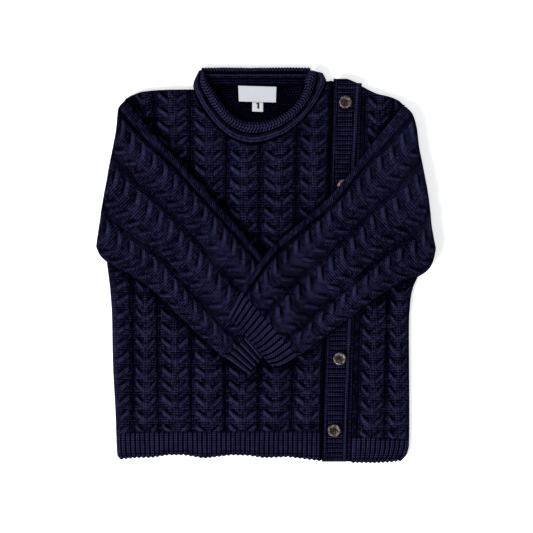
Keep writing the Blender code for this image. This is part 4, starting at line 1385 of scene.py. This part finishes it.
# ---- Bands of the opening ----------------------------------------------------------------------
@dataclass
class HoleBand:
    """The buttonhole band: ribs across it, a plain strip at its seam and a chain at its edge."""

    name: str = "buttonhole_band"
    top: float = 170.6
    bottom: float = -181.0
    pitch: float = 4.3
    top_rise: float = 1.2  # how far the top's seam side stands above it
    top_slope: float = 4.2  # how far the top falls towards the chain
    # Painted shadow beside the sleeves: how much darker, and how far it reaches.
    painted_shadow: float = 0.35
    painted_shadow_reach: float = 4.0

    def shape(self, across: Array, up: Array) -> Surface:
        """Places the band's points.

        Args:
            across: 0 at the seam side, 1 at the chain edge.
            up: 0 at the bottom end, 1 at the top end.

        Returns:
            The band's surface.
        """
        top = self.top + self.top_rise - self.top_slope * ease((across - 0.45) / 0.55)
        y = self.bottom + (top - self.bottom) * up
        left, right = read(HOLE_BAND, "left", y), read(HOLE_BAND, "right", y)
        rib_left, rib_right = read(HOLE_BAND, "rib_left", y), read(HOLE_BAND, "rib_right", y)
        x = left + (right - left) * across
        x = x + 0.35 * np.sin(2.0 * math.pi * y / 3.4) * ease((across - 0.9) / 0.1)
        count = round((self.top - self.bottom) / self.pitch)
        phase = (y - self.bottom) / (self.top - self.bottom) * count
        phase = phase + 0.05 * unevenness(x, y, 22.0)
        ridge = rib(phase)
        in_ribs = ease((x - rib_left + 0.6) / 1.2) * ease((rib_right - x + 0.6) / 1.2)
        chain_place = (x - rib_right - 0.3) / (right - rib_right - 0.3)
        chain = np.sqrt(np.clip(1.0 - (2.0 * chain_place - 1.0) ** 2, 0.0, 1.0)) * (chain_place > 0)
        link = 0.75 + 0.25 * humps((y + 1.4 * np.abs(2 * chain_place - 1)) / 3.2)
        seam_place = (x - left) / (rib_left - left)
        strip = ease(seam_place * 1.6) * (1.0 - 0.5 * ease(seam_place * 2 - 1))
        strip = np.where(seam_place < 1.0, strip, 0.0)
        height = in_ribs * (1.25 * ridge - 0.25) + 0.9 * chain * link + 0.35 * strip
        hatch = humps(x / 2.3 + 0.5 * phase) - 0.5
        # Painted shade in the hollows between the ribs, painted highlight on the raised chain and seam
        # strip; the hatch is the stitches' own pattern.
        tone = -0.14 + in_ribs * (0.70 * ridge + 0.55 * hatch) + 0.85 * chain * link + 0.72 * strip
        end = np.minimum(y - self.bottom, top - y)
        side = np.minimum(x - left, right - x)
        soft = np.minimum(rounding(side + 0.25, 1.8), rounding(end + 0.3, 2.5))
        z = HOLE_BAND_INSIDE + 0.2 + (HOLE_BAND_TOP - HOLE_BAND_INSIDE - 0.2 + height) * soft
        in_rib = in_ribs > 0.5
        wale = np.where(in_rib, phase, x / WALE)
        course = np.where(in_rib, x / COURSE, y / COURSE)
        # Painted shadow beside the sleeves.
        tone = tone - self.painted_shadow * sleeve_shade(x, y, self.painted_shadow_reach)
        return Surface.of((x, y, z), (wale, course, 0.0), (tone, 0.4 * chain, 0.6))

    def build(self, material: bpy.types.Material) -> bpy.types.Object:
        """Builds and dresses the band."""
        columns = np.linspace(0.0, 1.0, 40)
        rows = np.linspace(0.0, 1.0, 640)
        grid = ClothGrid(self.name, columns, rows, self.shape, Closing.FLAT_BELOW, HOLE_BAND_INSIDE)
        piece = dress(grid.build(), material, "navy_rib", self.name)
        return piece


@dataclass
class ButtonBand:
    """The band that carries the buttons, of which one edge shows beside the buttonhole band."""

    name: str = "button_band"

    def shape(self, across: Array, up: Array) -> Surface:
        """Places the band's points.

        Args:
            across: 0 at the hidden edge, 1 at the one that shows.
            up: 0 at the bottom end, 1 at the top end.

        Returns:
            The band's surface.
        """
        y = BUTTON_BAND["y"][0] + (BUTTON_BAND["y"][1] - BUTTON_BAND["y"][0]) * up
        left, right = read(BUTTON_BAND, "left", y), read(BUTTON_BAND, "right", y)
        x = left + (right - left) * across
        ridge = rib(y / 4.3)
        edge = bell(right - x - 1.6, 1.3)
        end = np.minimum(up, 1 - up) * 345.0
        soft = np.minimum(rounding(right - x + 0.3, 1.8), rounding(end + 0.3, 2.0))
        z = FRONT_INSIDE + 0.2 + (BUTTON_BAND_TOP - FRONT_INSIDE - 0.25 - 0.35 * ridge * (1.0 - edge)) * soft
        # Painted highlight on the raised edge that shows, painted shade between the ribs.
        tone = -0.15 + 0.35 * ridge + 0.55 * edge
        return Surface.of((x, y, z), (x / WALE, y / COURSE, 0.0), (tone, 0.2 * edge, 0.6))

    def build(self, material: bpy.types.Material) -> bpy.types.Object:
        """Builds and dresses the band."""
        columns, rows = np.linspace(0, 1, 26), np.linspace(0, 1, 420)
        grid = ClothGrid(self.name, columns, rows, self.shape, Closing.FLAT_BELOW, FRONT_INSIDE)
        piece = dress(grid.build(), material, "navy_rib", self.name)
        return piece


# ---- Neckband ----------------------------------------------------------------------------------
# The tone columns are painted light and shade: dark in the grooves between the rolls, light on the rolls.
NECK_WALL = table(
    "across height tone",
    (0.14, 2.75, 0.05), (0.03, 4.8, 0.20), (0.05, 7.2, 0.45), (0.20, 9.2, 0.62), (0.36, 8.9, 0.55),
    (0.48, 7.7, 0.30), (0.54, 6.4, -0.80), (0.60, 6.9, 0.15), (0.70, 7.8, 0.58), (0.86, 7.8, 0.55),
    (0.95, 6.6, 0.20), (0.995, 5.0, -0.05), (0.98, 2.75, -0.10),
)
NECK_INSIDE = table(
    "across height tone",
    (0.86, 2.75, 0.0), (0.84, 4.8, 0.0), (0.72, 5.0, 0.0), (0.56, 4.2, 0.0), (0.40, 6.2, 0.0),
    (0.24, 7.2, 0.0), (0.16, 6.4, 0.0), (0.24, 2.75, 0.0),
)
BACK_BAND = table(
    "y height tone",
    (166.4, 2.2, 0.05), (167.2, 2.6, 0.20), (171.4, 2.7, 0.18), (172.5, 2.2, -0.70),
    (173.4, 2.9, 0.20), (175.2, 3.6, 0.48), (176.9, 3.1, 0.10), (177.6, 2.8, -0.60),
    (178.6, 4.2, 0.10), (180.0, 5.5, 0.45), (181.4, 4.4, 0.35), (182.2, 2.4, 0.00),
)
BACK_BAND_ENDS = table(
    "y left right", (166.4, -53.2, 37.2), (174.2, -56.4, 38.2), (178.6, -58.4, 40.6), (182.2, -59.6, 41.4)
)


@dataclass
class Neckband:
    """The rolled neckband, in a front and a back length."""

    section_width: float = 14.0
    seam_length: float = 196.0
    roll_stitch: float = 3.4
    ridge_stitch: float = 2.3
    back_roll_stitch: float = 2.7
    back_strip_stitch: float = 2.4

    def front_shape(self, ring: Array, along: Array) -> Surface:
        """Places the front length's points.

        Args:
            ring: 0 to 1 round the wall's section.
            along: 0 to 1 along the neckline, from the viewer's left.

        Returns:
            The band's surface.
        """
        section = np.vstack(
            [np.stack([t["across"], t["height"], t["tone"]], axis=1) for t in (NECK_WALL, NECK_INSIDE)]
        )
        section = np.vstack([section, section[:1]])
        scale = (self.section_width, 1.0)
        dense = smooth_curve(section[:, :2] * scale, np.linspace(0.0, 1.0, 400)) / scale
        steps = np.linalg.norm(np.diff(section[:, :2] * scale, axis=0), axis=1)
        at = np.concatenate([[0.0], np.cumsum(steps)]) / steps.sum()
        shares = np.linspace(0.0, 1.0, 400)
        across, height = (np.interp(ring, shares, dense[:, k]) for k in range(2))
        tone = np.interp(ring, at, section[:, 2])
        line = np.linspace(0.0, 1.0, 300)
        inner = smooth_curve(np.stack([NECK["inner_x"], NECK["inner_y"]], axis=1), line)
        seam = smooth_curve(np.stack([NECK["seam_x"], NECK["seam_y"]], axis=1), line)
        inner_x, inner_y = (np.interp(along, line, inner[:, k]) for k in range(2))
        seam_x, seam_y = (np.interp(along, line, seam[:, k]) for k in range(2))
        face = ease((height - 4.5) / 2.0) * (ring < 0.62)
        length = along * self.seam_length
        in_roll = face * (across < 0.5)
        stitch = humps(length / self.roll_stitch + 3.0 * np.abs(across - 0.24))
        ridge = face * (across > 0.62)
        small = humps(length / self.ridge_stitch)
        height = height + 0.75 * in_roll * (stitch - 0.5) + 0.25 * ridge * (small - 0.5)
        across = across - 0.02 * in_roll * (stitch - 0.4) * (across < 0.2)
        x = inner_x + (seam_x - inner_x) * across
        y = inner_y + (seam_y - inner_y) * across
        # Painted light on each stitch's hump, painted shade between them.
        tone = tone + 1.15 * in_roll * (stitch - 0.60) + 0.45 * ridge * (small - 0.5)
        return Surface.of((x, y, height), (length / self.ridge_stitch, across * 7.0, 0.0), (tone, 0.0, 0.4))

    def back_shape(self, across: Array, along: Array) -> Surface:
        """Places the back length's points.

        Args:
            across: 0 at the seam, 1 at the rolled edge.
            along: 0 to 1 from the viewer's left.

        Returns:
            The band's surface.
        """
        points = np.stack([BACK_BAND["y"], BACK_BAND["height"]], axis=1)
        shares = np.linspace(0.0, 1.0, 200)
        dense = smooth_curve(points, shares)
        steps = np.linalg.norm(np.diff(points, axis=0), axis=1)
        at = np.concatenate([[0.0], np.cumsum(steps)]) / steps.sum()
        y, height = (np.interp(across, shares, dense[:, k]) for k in range(2))
        tone = np.interp(across, at, BACK_BAND["tone"])
        left, right = read(BACK_BAND_ENDS, "left", y), read(BACK_BAND_ENDS, "right", y)
        x = left + (right - left) * along
        from_end = np.minimum(x - left, right - x)
        height = np.minimum(height, 2.3 + 3.4 * ease((from_end - 1.2) / 3.0))
        roll = ease((y - 177.4) / 1.0)
        link = humps(x / self.back_roll_stitch)
        strip = ease((y - 172.6) / 0.8) * (1.0 - ease((y - 177.0) / 0.8))
        upright = humps(x / self.back_strip_stitch)
        # Painted light on each stitch's hump, painted shade between them.
        tone = tone + 1.05 * roll * (link - 0.55) + 0.60 * strip * (upright - 0.45)
        height = height + 0.6 * roll * (link - 0.5) + 0.25 * strip * (upright - 0.5)
        y = y + 0.9 * (link - 0.5) * ease((y - 180.0) / 2.0) + 0.3 * unevenness(x, 0 * x, 30.0) * roll
        height = np.maximum(height, 0.5)
        return Surface.of((x, y, height), (x / 2.4, y / COURSE, 0.0), (tone, 0.0, 0.5))

    def build(self, material: bpy.types.Material) -> None:
        """Builds and dresses both lengths.

        Args:
            material: Their knit.
        """
        rows = np.linspace(0.0, 1.0, 420)
        front = ClothGrid(
            "neckband_front", np.linspace(0.0, 1.0, 76), rows, self.front_shape, Closing.RING
        ).build()
        dress(front, material, "navy_rib", "neckband_front")
        back = ClothGrid(
            "neckband_back",
            np.linspace(0.0, 1.0, 34),
            np.linspace(0.0, 1.0, 240),
            self.back_shape,
            Closing.FLAT_BELOW,
            0.3,
        ).build()
        dress(back, material, "navy_rib", "neckband_back")


# ---- Buttons and labels ------------------------------------------------------------------------
@dataclass(frozen=True)
class Horn:
    """Polished brown horn with paler streaks, a pale raised rim and a dark middle."""

    name: str = "streaked_horn"
    dark: tuple[float, float, float] = (0.020, 0.013, 0.011)
    brown: tuple[float, float, float] = (0.085, 0.060, 0.052)
    pale: tuple[float, float, float] = (0.40, 0.31, 0.285)
    rim_gain: float = 0.95  # how much each of these lightens the horn
    streak_gain: float = 4.6
    fine_gain: float = 0.5
    darkness: float = 2.68

    def make(self) -> bpy.types.Material:
        """Builds the material."""
        nodes = Nodes.of(self.name)
        out, _, _ = nodes.attribute("tone")
        streaks = nodes.noise(480.0, 4.0, 0.7)
        fine = nodes.noise(2300.0, 2.0, 0.5)
        light = out * self.rim_gain + streaks * self.streak_gain - self.darkness + fine * self.fine_gain
        colour = nodes.mix(light.held(), self.dark, self.brown)
        colour = nodes.mix((light * 1.3 - 0.55).held(), colour, self.pale)
        return nodes.finish(
            Base_Color=colour,
            Roughness=0.42 + streaks * 0.2,
            Specular_IOR_Level=0.25,
            Normal=nodes.bump(streaks * 0.6 + fine * 0.4, 0.00012),
        )


@dataclass(frozen=True)
class Thread:
    """Dark sewing thread, twisted."""

    name: str = "navy_thread"
    colour: tuple[float, float, float] = (0.006, 0.006, 0.013)

    def make(self) -> bpy.types.Material:
        """Builds the material."""
        nodes = Nodes.of(self.name)
        twist = nodes.noise(5200.0, 1.0, 0.5)
        colour = nodes.mix(twist.held(), self.colour, (0.02, 0.02, 0.04))
        return nodes.finish(
            Base_Color=colour, Roughness=0.7, Specular_IOR_Level=0.2, Normal=nodes.bump(twist, 0.0001)
        )


@dataclass(frozen=True)
class WovenTape:
    """Close satin tape: fine threads both ways, a woven line round it and a little soil."""

    name: str
    white: tuple[float, float, float] = (0.60, 0.615, 0.64)
    grey: tuple[float, float, float] = (0.47, 0.49, 0.53)

    def make(self) -> bpy.types.Material:
        """Builds the material."""
        nodes = Nodes.of(self.name)
        across, up, _ = nodes.attribute("stitch")
        threads = (across * math.pi / 0.25).sine() * 0.25 + (up * math.pi / 0.32).sine() * 0.25 + 0.5
        border, inked, _ = nodes.attribute("tone")
        cloud = nodes.noise(160.0, 2.0, 0.5)
        colour = nodes.mix((threads * 0.20 + cloud * 0.25 - 0.05).held(), self.white, self.grey)
        colour = nodes.mix((border * 0.30).held(), colour, (0.42, 0.47, 0.58))
        colour = nodes.mix((inked * 1.6).held(), colour, (0.004, 0.004, 0.006))
        return nodes.finish(
            Base_Color=colour, Roughness=0.55, Specular_IOR_Level=0.3, Normal=nodes.bump(threads, 0.00008)
        )


@dataclass
class Buttons:
    """Five turned buttons with a raised rim, four holes and sewing thread."""

    profile: Table = field(
        default_factory=lambda: table(
            "radius height",
            (0.0, 1.15), (1.6, 1.15), (2.7, 1.25), (3.3, 1.7), (3.9, 2.35), (4.5, 2.6), (5.1, 2.5),
            (5.6, 2.05), (5.8, 1.3), (5.5, 0.6), (4.6, 0.05), (0.0, 0.0),
        )
    )
    sides: int = 56
    hole_offset: float = 1.35
    hole_radius: float = 0.78
    thread_radius: float = 0.3
    thread_sides: int = 7
    middle_pale: float = 0.15  # how pale the dish is, and how much paler the rim
    rim_pale: float = 0.48

    def button(self, number: int, x: float, y: float, material: bpy.types.Material) -> bpy.types.Object:
        """Turns one button and bores its holes.

        Args:
            number: Counted from the neck.
            x: Its middle.
            y: Its middle.
            material: Its horn.

        Returns:
            The button.
        """
        bm = bmesh.new()
        outline = np.stack([self.profile["radius"], self.profile["height"]], axis=1)
        line = smooth_curve(outline, np.linspace(0, 1, 30))
        verts = [bm.verts.new((max(r, 0.0) * MM, 0.0, z * MM)) for r, z in line]
        edges = [bm.edges.new(pair) for pair in zip(verts, verts[1:])]
        bmesh.ops.spin(
            bm,
            geom=verts + edges,
            cent=(0, 0, 0),
            axis=(0, 0, 1),
            angle=2 * math.pi,
            steps=self.sides,
            use_merge=True,
        )
        bmesh.ops.remove_doubles(bm, verts=bm.verts, dist=0.002 * MM)
        bmesh.ops.recalc_face_normals(bm, faces=bm.faces)
        turn = Matrix.Rotation(math.radians(37.0 * number), 4, "Z")
        place = Matrix.Translation((x * MM, y * MM, BUTTON_REST * MM))
        bmesh.ops.transform(bm, matrix=place @ turn, verts=bm.verts)
        piece = put(f"horn_button_{number}", freeze(bm, f"button_{number}"))
        self.bore(piece, x, y)
        self.tone(piece, x, y)
        piece.data.shade_smooth()
        piece.data.set_sharp_from_angle(angle=math.radians(40))
        return dress(piece, material, "horn_button", f"button_{number}")

    def holes(self) -> list[tuple[float, float]]:
        """Gives the four holes' places from the button's middle."""
        angles = [math.radians(45 + 90 * quarter) for quarter in range(4)]
        return [(self.hole_offset * math.cos(a), self.hole_offset * math.sin(a)) for a in angles]

    def bore(self, piece: bpy.types.Object, x: float, y: float) -> None:
        """Bores the four holes.

        Args:
            piece: The button.
            x: Its middle.
            y: Its middle.
        """
        cutter = bmesh.new()
        for dx, dy in self.holes():
            bmesh.ops.create_cone(
                cutter,
                cap_ends=True,
                segments=16,
                radius1=self.hole_radius * MM,
                radius2=self.hole_radius * MM,
                depth=8 * MM,
                matrix=Matrix.Translation(((x + dx) * MM, (y + dy) * MM, (BUTTON_REST + 1.0) * MM)),
            )
        bores = put("bores", freeze(cutter, "bores"))
        cut = piece.modifiers.new("bores", "BOOLEAN")
        cut.operation, cut.object, cut.solver = "DIFFERENCE", bores, "EXACT"
        made = bpy.data.meshes.new_from_object(piece.evaluated_get(bpy.context.evaluated_depsgraph_get()))
        piece.modifiers.clear()
        piece.data = made
        bpy.data.objects.remove(bores, do_unlink=True)

    def tone(self, piece: bpy.types.Object, x: float, y: float) -> None:
        """Marks how pale each point is: palest on the raised rim.

        Args:
            piece: The button.
            x: Its middle.
            y: Its middle.
        """
        co = points_of(piece.data) / MM
        out = np.hypot(co[:, 0] - x, co[:, 1] - y)
        on_rim = ease((out - 2.9) / 1.5) * ease((co[:, 2] - BUTTON_REST - 0.6) / 1.0)
        pale = self.middle_pale + self.rim_pale * on_rim
        mark(piece.data, "tone", np.stack([pale, 0 * pale, 0 * pale], axis=1))

    def sewing(self, number: int, x: float, y: float, material: bpy.types.Material) -> bpy.types.Object:
        """Lays thread between the holes and down through them.

        Args:
            number: Counted from the neck.
            x: The button's middle.
            y: Its middle.
            material: The thread.

        Returns:
            The stitches as one piece.
        """
        bm = bmesh.new()
        pairs = ((0, 3), (1, 2))
        holes = self.holes()
        for first, second in pairs:
            for side in (-0.22, 0.05, 0.3):
                (ax, ay), (bx, by) = holes[first], holes[second]
                length = math.hypot(bx - ax, by - ay)
                nx, ny = -(by - ay) / length * side, (bx - ax) / length * side
                line = [
                    (ax + nx, ay + ny, 0.35),
                    (ax * 0.93 + nx, ay * 0.93 + ny, 1.45),
                    (0.5 * (ax + bx) + nx, 0.5 * (ay + by) + ny, 1.75 + abs(side) * 0.4),
                    (bx * 0.93 + nx, by * 0.93 + ny, 1.45),
                    (bx + nx, by + ny, 0.35),
                ]
                curve = smooth_curve(np.array(line), np.linspace(0, 1, 14))
                sweep_tube(bm, curve, self.thread_radius, self.thread_sides)
        bmesh.ops.translate(bm, vec=(x * MM, y * MM, BUTTON_REST * MM), verts=bm.verts)
        mesh = freeze(bm, f"button_thread_{number}")
        mesh.shade_smooth()
        return dress(put(mesh.name, mesh), material, "navy_rib")

    def build(self, horn: bpy.types.Material, thread: bpy.types.Material) -> None:
        """Builds all five with their stitches.

        Args:
            horn: The buttons' material.
            thread: The stitches' material.
        """
        for number, (x, y) in enumerate(zip(BUTTONS["x"], BUTTONS["y"]), start=1):
            self.button(number, float(x), float(y), horn)
            self.sewing(number, float(x), float(y), thread)


def sweep_tube(bm: bmesh.types.BMesh, line: Array, radius: float, sides: int) -> None:
    """Adds a closed tube along a line.

    Args:
        bm: The mesh that it is added to, in metres.
        line: Points in millimetres.
        radius: The tube's radius in millimetres.
        sides: Faces round it.
    """
    rings = []
    for number, point in enumerate(line):
        before, after = line[max(number - 1, 0)], line[min(number + 1, len(line) - 1)]
        forward = Vector(after - before).normalized()
        turn = forward.to_track_quat("Z", "Y").to_matrix().to_4x4()
        made = bmesh.ops.create_circle(
            bm, segments=sides, radius=radius * MM, matrix=Matrix.Translation(Vector(point) * MM) @ turn
        )
        rings.append({edge for vert in made["verts"] for edge in vert.link_edges})
    for first, second in zip(rings, rings[1:]):
        bmesh.ops.bridge_loops(bm, edges=list(first | second))
    for ring in (rings[0], rings[-1]):
        bmesh.ops.contextual_create(bm, geom=list(ring))
    bmesh.ops.recalc_face_normals(bm, faces=bm.faces)


@dataclass
class Label:
    """A woven tab inside the back neck, of which the printed place is left bare."""

    name: str
    node: str
    corners: Table
    numeral: bool = False
    base: float = FRONT_INSIDE
    thickness: float = 0.45
    turned_in: float = 1.2  # at its seam, in millimetres
    stem: tuple[float, ...] = (0.65, 1.2, 0.90, 2.7)  # the numeral: middle across and up, half sizes
    flag: tuple[float, ...] = (-0.525, 2.9, 0.875, 0.65)

    def shape(self, across: Array, up: Array) -> Surface:
        """Places the tab's points.

        Args:
            across: 0 at the viewer's left, 1 at the right.
            up: 0 at the bottom, 1 at the top.

        Returns:
            The tab's surface.
        """
        cx, cy = self.corners["x"], self.corners["y"]
        top_x, top_y = cx[0] + (cx[1] - cx[0]) * across, cy[0] + (cy[1] - cy[0]) * across
        low_x, low_y = cx[3] + (cx[2] - cx[3]) * across, cy[3] + (cy[2] - cy[3]) * across
        x, y = low_x + (top_x - low_x) * up, low_y + (top_y - low_y) * up
        wide, tall = abs(cx[1] - cx[0]), abs(cy[0] - cy[3])
        lie = 0.22 * np.sin(2.4 * math.pi * across + 0.6) * np.sin(math.pi * up)
        lie = lie + 0.12 * unevenness(x, y, 14.0)
        z = self.base + self.thickness + 0.15 + 0.25 * lie
        side = np.minimum(np.minimum(across, 1 - across) * wide, np.minimum(up, 1 - up) * tall)
        border = bell(side - 0.9, 0.22) * (0.0 if self.numeral else 1.0)
        z = z - 0.12 * (1.0 - rounding(side + 0.05, 0.5))
        inked = np.zeros_like(x)
        if self.numeral:
            from_middle, height = (across - 0.5) * wide, (up - 0.50) * tall
            for mid_x, mid_y, half_x, half_y in (self.stem, self.flag):
                stroke = (np.abs(from_middle - mid_x) < half_x) & (np.abs(height - mid_y) < half_y)
                inked = np.maximum(inked, stroke)
        return Surface.of((x, y, z), (across * wide, up * tall, 0.0), (border, inked))

    def build(self, material: bpy.types.Material) -> bpy.types.Object:
        """Builds and dresses the tab.

        Args:
            material: Its woven tape.

        Returns:
            The piece.
        """
        wide, tall = np.ptp(self.corners["x"]), np.ptp(self.corners["y"])
        columns = np.linspace(0, 1, round(wide / 0.25))
        rows = np.linspace(0, 1, round(tall / 0.25))
        grid = ClothGrid(self.name, columns, rows, self.shape, Closing.FLAT_BELOW, self.base)
        piece = dress(grid.build(), material, "white_label", self.node)
        return piece


# ---- Studio ------------------------------------------------------------------------------------
@dataclass
class Studio:
    """A plain pale floor, soft light and a camera straight above."""

    camera_height: float = 2.0
    frame_width: float = 0.4904
    look_at: tuple[float, float] = (0.00069, -0.00115)
    garment_height: float = 0.008

    def floor(self) -> None:
        """Lays the floor that the garment rests on."""
        bm = bmesh.new()
        bmesh.ops.create_grid(bm, x_segments=1, y_segments=1, size=6.0)
        bmesh.ops.translate(bm, vec=(0, 0, -0.0004), verts=bm.verts)
        mesh = freeze(bm, "floor")
        floor = put("floor", mesh)
        nodes = Nodes.of("pale_paper")
        grain = nodes.noise(90.0, 2.0, 0.5)
        colour = nodes.mix((grain * 0.4).held(), (0.93, 0.93, 0.93), (0.90, 0.90, 0.90))
        mesh.materials.append(
            nodes.finish(
                Base_Color=colour,
                Roughness=0.95,
                Specular_IOR_Level=0.0,
                Emission_Color=(1.0, 1.0, 1.0, 1.0),
                Emission_Strength=0.5,
            )
        )

    def lamp(self, name: str, place: tuple[float, float, float], size: float, watts: float) -> None:
        """Hangs one soft lamp that faces the garment.

        Args:
            name: The lamp's name.
            place: Where it hangs, in metres.
            size: Its side in metres.
            watts: Its power.
        """
        light = bpy.data.lights.new(name, "AREA")
        light.shape, light.size, light.energy = "SQUARE", size, watts
        lamp = put(name, light)
        lamp.location = place
        lamp.rotation_euler = (-Vector(place)).to_track_quat("-Z", "Y").to_euler()

    def build(self) -> None:
        """Sets up the floor, the lamps, the sky and the camera."""
        self.floor()
        self.lamp("window_lamp", (-1.30, -1.20, 1.30), 0.8, 66.0)
        self.lamp("fill_lamp", (0.9, 1.3, 1.9), 1.4, 6.0)
        world = bpy.data.worlds.new("studio")
        bpy.context.scene.world = world
        world.use_nodes = True
        background = world.node_tree.nodes["Background"]
        background.inputs["Color"].default_value = (0.93, 0.96, 1.0, 1.0)
        background.inputs["Strength"].default_value = 0.42
        camera = bpy.data.cameras.new("camera")
        camera.sensor_width = 36.0
        camera.lens = 36.0 * (self.camera_height - self.garment_height) / self.frame_width
        seer = put("camera", camera)
        seer.location = (*self.look_at, self.camera_height)
        bpy.context.scene.camera = seer
        bpy.context.scene.view_settings.view_transform = "Standard"


def main() -> None:
    """Builds the cardigan piece by piece, then the studio."""
    logging.basicConfig(level=logging.INFO, format="%(message)s")
    knit, ribbing = Knit("navy_wool").make(), Knit("navy_rib_wool", stitch_depth=0.0005).make()
    # A darker copy of the wool, with dimmer crests, for the back's inside: painted shade inside the neck
    # opening.
    inside = Knit("navy_wool_inside_painted_shade", crest=(0.013, 0.011, 0.031), blue_crest_highlight=(0.009, 0.012, 0.031)).make()
    Back().build(inside)
    fronts = Fronts()
    fronts.wide(knit)
    fronts.narrow(knit)
    ButtonBand().build(ribbing)
    HoleBand().build(ribbing)
    flat, under_left = (0.262, 0.262), ["front_narrow_cloth", "sleeve_right_cloth"]
    on_front = (rest_on_front, flat, ["front_wide_cloth"])
    on_all = (rest_on_everything, flat, under_left)
    Sleeve("sleeve_right", SLEEVE_RIGHT_EDGES, BOW_RIGHT, *on_front).build(knit)
    Sleeve("sleeve_left", SLEEVE_LEFT_EDGES, BOW_LEFT, *on_all).build(knit)
    Neckband().build(ribbing)
    Buttons().build(Horn().make(), Thread().make())
    neck_corners = table("x y", (-25.4, 165.7), (9.9, 164.7), (9.4, 150.2), (-24.8, 151.2))
    size_corners = table("x y", (-12.4, 150.4), (-2.4, 150.2), (-2.4, 141.6), (-12.5, 141.9))
    tape = WovenTape("white_tape").make()
    Label("neck_label", "neck_label", neck_corners).build(tape)
    Label("size_label", "size_label", size_corners, numeral=True).build(tape)
    Studio().build()


if __name__ == "__main__":
    main()
